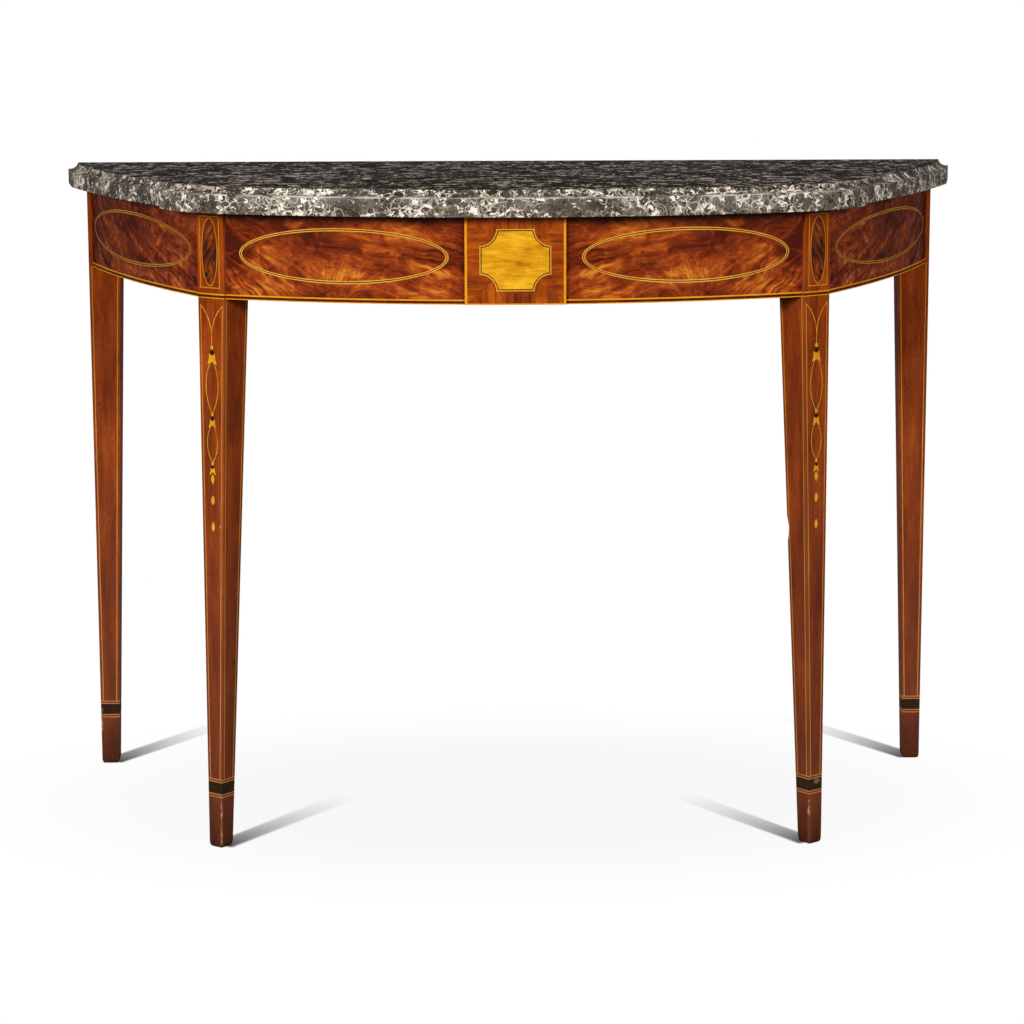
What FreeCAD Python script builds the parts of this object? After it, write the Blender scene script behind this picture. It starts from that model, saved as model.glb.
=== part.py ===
import FreeCAD, Part
import Sketcher
import math
import os
import types

from FreeCAD import Placement, Rotation, Vector

# Driving dimensions of the half-round pier table, in millimetres and degrees.
driving = {
    # marble slab
    "slab_width": 1270.0,
    "slab_thickness": 33.0,
    "front_overhang": 38.0,
    "side_overhang": 33.0,
    "slab_corner_radius": 150.0,
    "slab_end_length": 90.0,
    "cove_height": 9.0,
    "cove_width": 11.0,
    "cove_hollow": 2.2,
    "ledge_width": 3.5,
    "relief_depth": 3.5,
    "relief_width": 24.0,
    "relief_from_leg": 50.0,
    # curved frieze
    "frieze_bottom": 734.0,
    "frieze_height": 112.5,
    "frieze_depth": 593.0,
    "frieze_radius": 872.0,
    "side_bow": 14.0,
    "core_thickness": 25.0,
    "veneer_thickness": 1.2,
    "course_count": 4,
    "front_bricks": 3,
    "side_bricks": 2,
    "tenon_length": 16.0,
    "tenon_thickness": 9.0,
    # legs
    "front_leg_width": 45.5,
    "front_foot_width": 21.5,
    "front_leg_turn": 37.6,
    "front_leg_spacing": 370.0,
    "stile_proud": 3.0,
    "rear_leg_width": 45.0,
    "rear_foot_width": 24.5,
    "rear_overhang": 32.0,
    "rear_leg_setback": 5.0,
    "rear_leg_reveal": 6.0,
    "foot_rounding": 2.5,
    # rails behind the frieze
    "back_rail_thickness": 22.0,
    "back_rail_height": 100.0,
    "back_rail_inset": 2.0,
    "brace_width": 60.0,
    "brace_thickness": 20.0,
    "brace_spacing": 175.0,
    "brace_lap": 11.0,
    "block_size": 20.0,
    "block_run": 34.0,
    "block_height": 80.0,
    # inlay
    "inlay_depth": 1.2,
    "string_width": 1.3,
    "banding_light": 1.9,
    "banding_dark": 3.2,
    "banding_edge": 1.3,
    "front_oval_margin": 21.0,
    "side_oval_margin": 24.0,
    "oval_height": 70.5,
    "stile_outer_margin": 4.0,
    "stile_inner_margin": 7.5,
    "stile_end_margin": 6.5,
    "stile_oval_width": 27.7,
    "stile_oval_height": 88.0,
    "tablet_width": 127.0,
    "tablet_proud": 3.5,
    "tablet_border": 2.8,
    "tablet_panel_width": 90.0,
    "tablet_panel_height": 78.0,
    "tablet_corner_radius": 21.0,
    "leg_string_inset": 3.2,
    "leg_string_width": 1.4,
    "cuff_bottom": 70.0,
    "cuff_height": 15.5,
    "cuff_gap": 2.2,
    # bellflower husks, measured down from the frieze
    "husk_count": 3,
    "chain_string": 1.0,
    "swag_top": 8.5,
    "swag_drop": 41.5,
    "stem_length": 12.4,
    "bead_height": 5.6,
    "bead_width": 5.4,
    "calyx_height": 2.8,
    "husk_width": 15.8,
    "husk_height": 16.2,
    "husk_ratio": 0.83,
    "husk_hollow": 0.2,
    "loop_height": 62.0,
    "loop_width": 21.0,
    "loop_ratio": 0.7,
    "drop_height": 12.8,
    "drop_width": 5.8,
    "drop_gap": 15.0,
}

doc = FreeCAD.newDocument("pier_table")
sheet = doc.addObject("Spreadsheet::Sheet", "Sizes")
for row, (alias, value) in enumerate(driving.items(), start=1):
    sheet.set("A%d" % row, alias)
    sheet.set("B%d" % row, str(value))
    sheet.setAlias("B%d" % row, alias)
doc.recompute()
dim = types.SimpleNamespace(**{alias: float(sheet.get(alias)) for alias in driving})

up = Vector(0, 0, 1)
touch = 1e-6
nodes = []


def piece(label, shape, placement=None):
    """One sub-part whose outline the script works out from the sheet."""
    part = doc.addObject("Part::Feature", label)
    part.Label = label
    part.Shape = shape
    if placement:
        part.Placement = placement
    nodes.append(part)
    return part


def right_hand(part, label):
    """The right-hand twin of a left-hand sub-part, mirrored in the middle plane."""
    twin = doc.addObject("Part::Mirroring", label)
    twin.Label = label
    twin.Source = part
    twin.Base = Vector(0, 0, 0)
    twin.Normal = Vector(1, 0, 0)
    nodes.append(twin)
    return twin


def both_hands(name, shape, placement=None):
    """A left-hand piece and its right-hand twin."""
    left = piece(name + "_left", shape, placement)
    right_hand(left, name + "_right")
    return left


def flip(shape):
    """A shape mirrored in the middle plane."""
    return shape.mirror(Vector(0, 0, 0), Vector(1, 0, 0))


def flip_point(point):
    return Vector(-point.x, point.y, point.z)


def merge(shapes):
    """Separate solids kept together as one group."""
    return Part.makeCompound([solid for shape in shapes for solid in shape.Solids])


# Plan geometry: bearings are measured from straight ahead, positive to the right.

def on_circle(centre, radius, bearing):
    return centre + Vector(radius * math.sin(bearing), -radius * math.cos(bearing), 0)


def bearing_of(centre, point):
    offset = point - centre
    return math.atan2(offset.x, -offset.y)


slab_depth = dim.frieze_depth + dim.front_overhang
back_y = slab_depth / 2
frame_top = dim.frieze_bottom + dim.frieze_height
field_bottom = dim.frieze_bottom + dim.banding_edge + dim.banding_dark + dim.banding_light
field_middle = (field_bottom + frame_top) / 2

front_centre = Vector(0, back_y - dim.frieze_depth + dim.frieze_radius, 0)
leg_bearing = -math.asin(dim.front_leg_spacing / dim.frieze_radius)
tablet_bearing = dim.tablet_width / 2 / dim.frieze_radius

turn = math.radians(dim.front_leg_turn)
leg_run = Vector(math.cos(turn), -math.sin(turn), 0)
leg_back = Vector(math.sin(turn), math.cos(turn), 0)
leg_arris = on_circle(front_centre, dim.frieze_radius, leg_bearing) - leg_back * dim.stile_proud
leg_corner = leg_arris - leg_run * dim.front_leg_width
front_leg_place = Placement(leg_corner, Rotation(up, -dim.front_leg_turn))

rear_face_y = back_y - dim.rear_leg_setback - dim.rear_leg_width
rear_corner = Vector(dim.rear_overhang - dim.slab_width / 2, rear_face_y, 0)
rear_leg_place = Placement(rear_corner, Rotation())

side_rear = rear_corner + Vector(dim.rear_leg_reveal, 0, 0)
side_front = leg_corner + leg_back * dim.stile_proud
chord = side_front - side_rear
side_outward = Vector(chord.y, -chord.x, 0).normalize()
side_radius = (chord.Length ** 2 / 4 + dim.side_bow ** 2) / (2 * dim.side_bow)
side_centre = (side_rear + side_front) / 2 + side_outward * (dim.side_bow - side_radius)


def band(centre, outer, inner, start, end, low, high):
    """A curved board between two radii, two bearings and two heights."""
    middle = (start + end) / 2
    lift = up * low
    outside = [on_circle(centre, outer, bearing) + lift for bearing in (start, middle, end)]
    inside = [on_circle(centre, inner, bearing) + lift for bearing in (end, middle, start)]
    edges = [
        Part.Arc(*outside).toShape(),
        Part.LineSegment(outside[2], inside[0]).toShape(),
        Part.Arc(*inside).toShape(),
        Part.LineSegment(inside[2], outside[0]).toShape(),
    ]
    return Part.Face(Part.Wire(edges)).extrude(up * (high - low))


def placed(shape, place):
    """A shape moved bodily into a frame of its own."""
    return shape.transformed(place.toMatrix())


def box(low, high):
    """A plain block between two corners."""
    span = high - low
    return Part.makeBox(span.x, span.y, span.z, low)


# Legs: a square stile behind the frieze over a taper on the two inner faces.

def square_sketch(body, name, alias, height_alias=None):
    """A square with one corner on the leg's outer front edge."""
    sketch = body.newObject("Sketcher::SketchObject", name)
    plane = next(item for item in body.Origin.OriginFeatures if item.Role == "XY_Plane")
    sketch.AttachmentSupport = [(plane, "")]
    sketch.MapMode = "FlatFace"
    if height_alias:
        sketch.setExpression("AttachmentOffset.Base.z", "Sizes." + height_alias)
    width = getattr(dim, alias)
    corners = [Vector(0, 0, 0), Vector(width, 0, 0), Vector(width, width, 0), Vector(0, width, 0)]
    for index in range(4):
        sketch.addGeometry(Part.LineSegment(corners[index], corners[(index + 1) % 4]), False)
    for index in range(4):
        sketch.addConstraint(Sketcher.Constraint("Coincident", index, 2, (index + 1) % 4, 1))
    for index, direction in enumerate(("Horizontal", "Vertical", "Horizontal", "Vertical")):
        sketch.addConstraint(Sketcher.Constraint(direction, index))
    sketch.addConstraint(Sketcher.Constraint("Coincident", 0, 1, -1, 1))
    for index, (kind, title) in enumerate((("DistanceX", "width"), ("DistanceY", "depth"))):
        number = sketch.addConstraint(Sketcher.Constraint(kind, index, 1, index, 2, width))
        sketch.renameConstraint(number, title)
        sketch.setExpression("Constraints." + title, "Sizes." + alias)
    return sketch


def leg_body(name, width_alias, foot_alias, place):
    """The leg in one piece of timber, before any inlay is let in."""
    body = doc.addObject("PartDesign::Body", name + "_timber")
    foot = square_sketch(body, name + "_foot", foot_alias)
    knee = square_sketch(body, name + "_knee", width_alias, "frieze_bottom")
    stile = square_sketch(body, name + "_stile", width_alias, "frieze_bottom")
    taper = body.newObject("PartDesign::AdditiveLoft", name + "_taper")
    taper.Profile = foot
    taper.Sections = [knee]
    taper.Ruled = True
    post = body.newObject("PartDesign::Pad", name + "_post")
    post.Profile = stile
    post.setExpression("Length", "Sizes.frieze_height")
    doc.recompute()
    worn = body.newObject("PartDesign::Fillet", name + "_worn_foot")
    floor_edges = []
    for index, edge in enumerate(post.Shape.Edges, start=1):
        if all(abs(vertex.Z) < touch for vertex in edge.Vertexes):
            floor_edges.append("Edge%d" % index)
    worn.Base = (post, floor_edges)
    worn.setExpression("Radius", "Sizes.foot_rounding")
    body.Tip = worn
    body.Placement = place
    doc.recompute()
    return body


front_timber = leg_body("leg_front", "front_leg_width", "front_foot_width", front_leg_place)
rear_timber = leg_body("leg_rear", "rear_leg_width", "rear_foot_width", rear_leg_place)
front_blank = front_timber.Shape
rear_blank = rear_timber.Shape


def leg_width_at(height, width, foot):
    """Width of a leg's faces at a height above the floor."""
    return foot + (width - foot) * min(height, dim.frieze_bottom) / dim.frieze_bottom


def leg_skin(blank, width, foot):
    """The outermost layer of a leg's four faces, into which the inlay is let."""
    depth = dim.inlay_depth
    levels = [(-depth, foot), (dim.frieze_bottom, width), (frame_top + depth, width)]
    squares = []
    for height, side in levels:
        far = side - depth
        corners = [(depth, depth), (far, depth), (far, far), (depth, far), (depth, depth)]
        squares.append(Part.makePolygon([Vector(x, y, height) for x, y in corners]))
    return blank.cut(Part.makeLoft(squares, True, True))


front_skin = leg_skin(front_timber.Tip.Shape, dim.front_leg_width, dim.front_foot_width)
rear_skin = leg_skin(rear_timber.Tip.Shape, dim.rear_leg_width, dim.rear_foot_width)
front_face = Placement(Vector(0, 0, 0), Rotation(Vector(1, 0, 0), 90))


def outline(points):
    """A flat face from corner points joined by straight lines."""
    return Part.Face(Part.makePolygon(points + points[:1]))


def oval(centre, across, tall):
    """An upright ellipse with the given full width and height."""
    wide = Vector(across / 2, 0, 0)
    high = Vector(0, tall / 2, 0)
    axes = (wide, high) if across > tall else (high, wide)
    ellipse = Part.Ellipse(axes[0], axes[1], Vector(0, 0, 0)).toShape()
    ellipse.translate(centre)
    return Part.Face(Part.Wire(ellipse))


def arc_strip(start, bend, end, width):
    """A string of even width bent along an arc through three points."""
    circle = Part.Arc(start, bend, end).toShape().Curve
    rails = []
    for shift in (width / 2, -width / 2):
        scale = (circle.Radius + shift) / circle.Radius
        rails.append([circle.Center + (point - circle.Center) * scale for point in (start, bend, end)])
    outer, inner = rails
    edges = [
        Part.Arc(*outer).toShape(),
        Part.LineSegment(outer[2], inner[2]).toShape(),
        Part.Arc(inner[2], inner[1], inner[0]).toShape(),
        Part.LineSegment(inner[0], outer[0]).toShape(),
    ]
    return Part.Face(Part.Wire(edges))


def through(face, reach):
    """A flat outline carried through a surface by the same reach on both sides."""
    shifted = face.copy()
    shifted.translate(Vector(0, 0, -reach))
    return shifted.extrude(Vector(0, 0, 2 * reach))


def let_in(face):
    """The inlay under a flat outline on a leg's upright front face."""
    return placed(face.extrude(Vector(0, 0, -dim.inlay_depth)), front_face)


def joined(shapes):
    """Solids made one wherever they overlap."""
    return shapes[0].multiFuse(shapes[1:]).removeSplitter()


# Cuffs and leg stringing.

cuff_levels = [dim.cuff_bottom]
for step in (dim.string_width, dim.cuff_gap, dim.string_width, dim.cuff_height,
             dim.string_width, dim.cuff_gap, dim.string_width):
    cuff_levels.append(cuff_levels[-1] + step)
cuff_top = cuff_levels[-1]
string_top = dim.frieze_bottom - dim.swag_top


def cuff_ring(skin, low, high):
    """A ring of inlay round all four faces between two heights."""
    reach = dim.front_leg_width + dim.rear_leg_width
    return skin.common(box(Vector(-reach, -reach, low), Vector(reach, reach, high)))


def face_strings(width, foot, top):
    """Two strings that follow the edges of a tapered face, as corner points in its plane."""
    near = dim.leg_string_inset
    far = near + dim.leg_string_width
    low_edge = leg_width_at(cuff_top, width, foot)
    top_edge = leg_width_at(top, width, foot)
    outer = [(near, cuff_top), (far, cuff_top), (far, top), (near, top)]
    inner = [(low_edge - far, cuff_top), (low_edge - near, cuff_top),
             (top_edge - near, top), (top_edge - far, top)]
    return Part.makeCompound([outline([Vector(x, y, 0) for x, y in corners]) for corners in (outer, inner)])


def side_strings(skin, width, foot, inner):
    """Strings on a leg's outer or inner side face."""
    strips = face_strings(width, foot, dim.frieze_bottom)
    strips = placed(strips, Placement(Vector(foot / 2, 0, 0), Rotation(Vector(1, 1, 1), 120)))
    return skin.common(strips.extrude(Vector(width if inner else -width, 0, 0)))


# Bellflower husks down the middle of each front leg.

def face_centre(below):
    """Middle of a front leg's face, a distance below the frieze."""
    height = dim.frieze_bottom - below
    return Vector(leg_width_at(height, dim.front_leg_width, dim.front_foot_width) / 2, height, 0)


def swag():
    """Two arcs that fall from the tops of the edge strings and run together into a short stem."""
    half = dim.leg_string_width / 2
    meeting = dim.swag_top + dim.swag_drop
    foot = face_centre(meeting)
    top = face_centre(dim.swag_top)
    spread = top.x - dim.leg_string_inset - half
    faces = []
    for hand in (-1, 1):
        start = Vector(top.x + hand * spread, top.y - half, 0)
        reach = abs(start.x - foot.x)
        drop = start.y - foot.y
        radius = (reach ** 2 + drop ** 2) / (2 * reach)
        sweep = math.asin(drop / radius) / 2
        bend = foot + Vector(hand * radius * (1 - math.cos(sweep)), radius * math.sin(sweep), 0)
        faces.append(arc_strip(start, bend, foot, dim.chain_string))
    below = face_centre(meeting + dim.stem_length)
    side = dim.chain_string / 2
    stem = [foot + Vector(-side, half, 0), foot + Vector(side, half, 0),
            below + Vector(side, 0, 0), below + Vector(-side, 0, 0)]
    return faces + [outline(stem)]


def husk(below, across, tall, hollow):
    """One bellflower: a domed top, a flare to two tips and a hollow lower edge."""
    top = face_centre(below)
    half = [(0.33, -0.25), (0.38, -0.63), (0.5, -1.0), (0.24, hollow / 2 - 1)]
    shape = half + [(0, hollow - 1)] + [(-x, y) for x, y in reversed(half)]
    corners = [top + Vector(x * across, y * tall, 0) for x, y in shape]
    edges = [Part.Arc(corners[-1], top, corners[0]).toShape()]
    edges += [Part.LineSegment(*ends).toShape() for ends in zip(corners, corners[1:])]
    return Part.Face(Part.Wire(edges))


def loop(below, across, tall):
    """Two bowed strings that leave a husk and close on the next bead."""
    faces = []
    reach = tall * 0.44
    tuck = dim.string_width
    for hand in (-1, 1):
        start = face_centre(below - 3 * tuck) + Vector(hand * across * 0.12, 0, 0)
        bend = face_centre(below + reach) + Vector(hand * across / 2, 0, 0)
        end = face_centre(below + tall + tuck) + Vector(hand * tuck * 0.55, 0, 0)
        faces.append(arc_strip(start, bend, end, dim.chain_string))
    return faces


def pointed_drop(centre, across, tall):
    """A slim drop between two arcs."""
    top = centre + Vector(0, tall / 2, 0)
    foot = centre - Vector(0, tall / 2, 0)
    side = Vector(across / 2, 0, 0)
    return Part.Face(Part.Wire([Part.Arc(top, centre + side, foot).toShape(),
                                Part.Arc(foot, centre - side, top).toShape()]))


def husk_chain():
    """Light and dark outlines of the whole hanging ornament."""
    light = swag()
    dark = []
    husk_count = int(dim.husk_count)
    tuck = dim.string_width
    below = dim.swag_top + dim.swag_drop + dim.stem_length - tuck
    for link in range(husk_count):
        scale = dim.husk_ratio ** link
        across = dim.husk_width * scale
        tall = dim.husk_height * scale
        bead_middle = face_centre(below + dim.bead_height / 2)
        light.append(oval(bead_middle, dim.bead_width * scale, dim.bead_height))
        below += dim.bead_height + dim.calyx_height * scale
        dome = tall * 0.15
        dark.append(oval(face_centre(below + dome), across * 0.54,
                         2 * (dim.calyx_height * scale + dome) + tuck))
        light.append(husk(below, across, tall, dim.husk_hollow * (1 + link / 2)))
        below += tall
        if link < husk_count - 1:
            tall = dim.loop_height * dim.loop_ratio ** link
            light += loop(below, dim.loop_width * scale, tall)
            below += tall
    below -= tuck
    for link in range(husk_count):
        light.append(pointed_drop(face_centre(below + dim.drop_height / 2), dim.drop_width, dim.drop_height))
        below += dim.drop_height + dim.drop_gap + link * dim.drop_gap / 2
    light = joined([let_in(face) for face in light])
    dark = merge([let_in(face) for face in dark])
    return light, dark.cut(light)


# Stiles: the leg tops that stand between the frieze panels.

def rectangle(low, high):
    corners = [(low.x, low.y), (high.x, low.y), (high.x, high.y), (low.x, high.y)]
    return outline([Vector(x, y, 0) for x, y in corners])


stile_low = Vector(dim.stile_outer_margin, field_bottom + dim.stile_end_margin, 0)
stile_high = Vector(dim.front_leg_width - dim.stile_inner_margin, frame_top - dim.stile_end_margin, 0)
string_step = Vector(dim.string_width, dim.string_width, 0)
stile_middle = (stile_low + stile_high) / 2
stile_inside = rectangle(stile_low + string_step, stile_high - string_step)
stile_frame = rectangle(stile_low, stile_high).cut(stile_inside)
stile_oval = oval(stile_middle, dim.stile_oval_width, dim.stile_oval_height)
stile_core = oval(stile_middle, dim.stile_oval_width - 2 * dim.string_width,
                  dim.stile_oval_height - 2 * dim.string_width)

banding_levels = [dim.frieze_bottom, dim.frieze_bottom + dim.banding_edge,
                  dim.frieze_bottom + dim.banding_edge + dim.banding_dark, field_bottom]


def stile_banding(level):
    low = Vector(0, banding_levels[level], 0)
    high = Vector(dim.front_leg_width, banding_levels[level + 1], 0)
    return let_in(rectangle(low, high))


front_strings = face_strings(dim.front_leg_width, dim.front_foot_width, string_top)
front_strings = let_in(front_strings)
light_husks, dark_husks = husk_chain()
front_inlays = {
    "leg_strings_front": merge([
        front_strings,
        side_strings(front_skin, dim.front_leg_width, dim.front_foot_width, True),
        side_strings(front_skin, dim.front_leg_width, dim.front_foot_width, False),
    ]),
    "leg_husks": merge([light_husks.cut(front_strings)]),
    "leg_calyxes": merge([dark_husks]),
    "stile_string": merge([let_in(stile_frame), let_in(stile_oval.cut(stile_core))]),
    "stile_oval": merge([let_in(stile_core)]),
    "cuff_band_front": cuff_ring(front_skin, cuff_levels[3], cuff_levels[4]),
    "cuff_strings_front": merge([cuff_ring(front_skin, cuff_levels[step], cuff_levels[step + 1])
                                 for step in (0, 2, 4, 6)]),
}
rear_strings = face_strings(dim.rear_leg_width, dim.rear_foot_width, dim.frieze_bottom)
rear_inlays = {
    "leg_strings_rear": merge([let_in(rear_strings)]),
    "cuff_band_rear": cuff_ring(rear_skin, cuff_levels[3], cuff_levels[4]),
    "cuff_strings_rear": merge([cuff_ring(rear_skin, cuff_levels[step], cuff_levels[step + 1])
                                for step in (0, 2, 4, 6)]),
}

# Mortises: each rail enters its leg by a stub tenon in the middle of the core.

tenon_low = dim.frieze_bottom + dim.frieze_height / 4
tenon_high = frame_top - dim.frieze_height / 4
core_start = dim.veneer_thickness + (dim.core_thickness - dim.tenon_thickness) / 2
front_v = dim.stile_proud + core_start
rear_x = dim.rear_leg_reveal + core_start
back_rail_y = dim.rear_leg_width - dim.back_rail_inset - dim.back_rail_thickness
back_tenon_y = back_rail_y + (dim.back_rail_thickness - dim.tenon_thickness) / 2
back_tenon_low = frame_top - dim.back_rail_height * 3 / 4
back_tenon_high = frame_top - dim.back_rail_height / 4
root = dim.tenon_length / 4

front_tenon = box(Vector(dim.front_leg_width - dim.tenon_length, front_v, tenon_low),
                  Vector(dim.front_leg_width + root, front_v + dim.tenon_thickness, tenon_high))
side_front_tenon = box(Vector(-root, front_v, tenon_low),
                       Vector(dim.tenon_length, front_v + dim.tenon_thickness, tenon_high))
side_rear_tenon = box(Vector(rear_x, -root, tenon_low),
                      Vector(rear_x + dim.tenon_thickness, dim.tenon_length, tenon_high))
back_tenon = box(Vector(dim.rear_leg_width - dim.tenon_length, back_tenon_y, back_tenon_low),
                 Vector(dim.rear_leg_width, back_tenon_y + dim.tenon_thickness, back_tenon_high))


def cuff_grooves(skin):
    """The three grooves that take a cuff: one for each outer string and one for what lies between."""
    return [cuff_ring(skin, cuff_levels[low], cuff_levels[high]) for low, high in ((0, 1), (2, 5), (6, 7))]


def finished_leg(label, timber, place, inlays, cutters):
    """The leg with its inlay grooves and mortises, and the inlay as pieces of their own."""
    tool = doc.addObject("Part::Feature", label + "_grooves")
    tool.Shape = merge(cutters)
    tool.Placement = place
    leg = doc.addObject("Part::Cut", label + "_left")
    leg.Label = label + "_left"
    leg.Base = timber
    leg.Tool = tool
    nodes.append(leg)
    right_hand(leg, label + "_right")
    for name, shape in inlays.items():
        both_hands(name, shape, place)


stile_bands = [stile_banding(level) for level in range(3)]
stile_ground = rectangle(Vector(0, dim.frieze_bottom, 0), Vector(dim.front_leg_width, field_bottom, 0))
front_grooves = [front_inlays["leg_strings_front"], joined([front_inlays["leg_husks"], dark_husks]),
                 let_in(stile_frame), let_in(stile_oval), let_in(stile_ground)]
finished_leg("leg_front", front_timber, front_leg_place, front_inlays,
             front_grooves + cuff_grooves(front_skin) + [front_tenon, side_front_tenon])
finished_leg("leg_rear", rear_timber, rear_leg_place, rear_inlays,
             [rear_inlays["leg_strings_rear"]] + cuff_grooves(rear_skin) + [side_rear_tenon, back_tenon])

# Braces: two flat boards let into the tops of the front and back rails.

core_radius = dim.frieze_radius - dim.veneer_thickness
core_inner = core_radius - dim.core_thickness
brace_bearing = math.asin(dim.brace_spacing / core_inner)
brace_front = on_circle(front_centre, core_inner, brace_bearing).y - dim.brace_lap
brace_back = rear_corner.y + back_rail_y + dim.brace_lap
brace = doc.addObject("Part::Box", "cross_brace_left")
brace.Label = "cross_brace_left"
brace.setExpression("Length", "Sizes.brace_width")
brace.setExpression("Height", "Sizes.brace_thickness")
brace.Width = brace_back - brace_front
brace.Placement = Placement(Vector(-dim.brace_spacing - dim.brace_width / 2, brace_front,
                                   frame_top - dim.brace_thickness), Rotation())
nodes.append(brace)
right_hand(brace, "cross_brace_right")
doc.recompute()
braces = merge([brace.Shape, flip(brace.Shape)])

# Rails: pine bricks in staggered courses behind the curved veneers.


def brick_joints(start, end, bricks, staggered):
    """Bearings of the upright joints in one course."""
    step = (end - start) / bricks
    if not staggered:
        return [start + step * index for index in range(bricks + 1)]
    return [start] + [start + step * (index + 0.5) for index in range(bricks)] + [end]


def brick_rail(centre, outer, start, end, bricks, trims, tenons):
    """Courses of curved bricks, the end ones with their share of the tenons."""
    solids = []
    courses = int(dim.course_count)
    course_height = dim.frieze_height / courses
    wide = dim.slab_width
    for course in range(courses):
        low = dim.frieze_bottom + course * course_height
        high = low + course_height
        slice_box = box(Vector(-wide, -wide, low), Vector(wide, wide, high))
        joints = brick_joints(start, end, int(bricks), course % 2)
        for index in range(len(joints) - 1):
            inner = outer - dim.core_thickness
            brick = band(centre, outer, inner, joints[index], joints[index + 1], low, high)
            for trim in trims:
                brick = brick.cut(trim)
            brick = max(brick.Solids, key=lambda solid: solid.Volume)
            ends = [tenons[0]] if index == 0 else []
            if index == len(joints) - 2:
                ends.append(tenons[1])
            for end_tenon in ends:
                share = end_tenon.common(slice_box)
                if share.Volume > touch:
                    brick = brick.fuse(share).removeSplitter()
            solids.append(brick)
    return merge(solids)


lap = dim.core_thickness * 0.6
front_lap = lap / dim.frieze_radius
side_lap = lap / side_radius
side_start = bearing_of(side_centre, side_rear)
side_end = bearing_of(side_centre, side_front)
front_tenon_left = placed(front_tenon, front_leg_place)
front_rail = brick_rail(front_centre, core_radius, leg_bearing - front_lap, front_lap - leg_bearing,
                        dim.front_bricks, [front_blank, flip(front_blank), braces],
                        [front_tenon_left, flip(front_tenon_left)])
side_rail = brick_rail(side_centre, side_radius - dim.veneer_thickness, side_start - side_lap,
                       side_end + side_lap, dim.side_bricks, [front_blank, rear_blank],
                       [placed(side_rear_tenon, rear_leg_place), placed(side_front_tenon, front_leg_place)])
piece("front_rail", front_rail)
both_hands("side_rail", side_rail)

back_board = doc.addObject("Part::Box", "back_rail_board")
between_legs = "Sizes.slab_width - 2 * Sizes.rear_overhang - 2 * Sizes.rear_leg_width"
back_board.setExpression("Length", between_legs)
back_board.setExpression("Width", "Sizes.back_rail_thickness")
back_board.setExpression("Height", "Sizes.back_rail_height")
inner_x = rear_corner.x + dim.rear_leg_width
back_board.Placement = Placement(
    Vector(inner_x, rear_corner.y + back_rail_y, frame_top - dim.back_rail_height), Rotation())
back_tongue = doc.addObject("Part::Box", "back_rail_tongue")
back_tongue.setExpression("Length", between_legs + " + 2 * Sizes.tenon_length")
back_tongue.setExpression("Width", "Sizes.tenon_thickness")
back_tongue.setExpression("Height", "Sizes.back_rail_height / 2")
back_tongue.Placement = Placement(
    Vector(inner_x - dim.tenon_length, rear_corner.y + back_tenon_y, back_tenon_low), Rotation())
back_blank = doc.addObject("Part::Fuse", "back_rail_blank")
back_blank.Base = back_board
back_blank.Tool = back_tongue
notches = doc.addObject("Part::Feature", "back_rail_notches")
notches.Shape = braces
back_rail = doc.addObject("Part::Cut", "back_rail")
back_rail.Label = "back_rail"
back_rail.Base = back_blank
back_rail.Tool = notches
nodes.append(back_rail)

# Glue blocks in the inner corners between the legs and the rails.

rail_back_v = dim.stile_proud + dim.veneer_thickness + dim.core_thickness
front_slope = math.tan(turn + leg_bearing)
side_slope = math.tan(-side_end - turn)
block_low = frame_top - dim.block_height
block_corners = [
    (front_leg_place, [(dim.front_leg_width, rail_back_v - dim.block_size / 2),
                       (dim.front_leg_width, rail_back_v + dim.block_size),
                       (dim.front_leg_width + dim.block_run, rail_back_v + dim.block_run * front_slope)]),
    (front_leg_place, [(0, rail_back_v - dim.block_size / 2),
                       (0, rail_back_v + dim.block_size),
                       (-dim.block_run, rail_back_v + dim.block_run * side_slope)]),
    (rear_leg_place, [(dim.rear_leg_width, back_rail_y),
                      (dim.rear_leg_width, back_rail_y - dim.block_size),
                      (dim.rear_leg_width + dim.block_run, back_rail_y)]),
]
glue_blocks = []
for place, corners in block_corners:
    block = outline([Vector(x, y, block_low) for x, y in corners]).extrude(up * dim.block_height)
    block = placed(block, place)
    for rail in (front_rail, side_rail):
        block = block.cut(rail)
    glue_blocks.append(max(block.Solids, key=lambda solid: solid.Volume))
both_hands("glue_blocks", merge(glue_blocks))

# Frieze: flame veneers with an oval let into each, over a banded lower edge.


def surface_place(centre, radius, bearing, height):
    """A frame on the frieze: along it, upwards and outwards."""
    along = Vector(math.cos(bearing), math.sin(bearing), 0)
    outward = Vector(math.sin(bearing), -math.cos(bearing), 0)
    return Placement(centre + outward * radius + up * height, Rotation(along, up, outward, "XYZ"))


def through_frieze(face, place):
    """A flat outline carried through the curved veneer."""
    cutter = through(face, dim.core_thickness)
    return placed(cutter, place)


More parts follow.
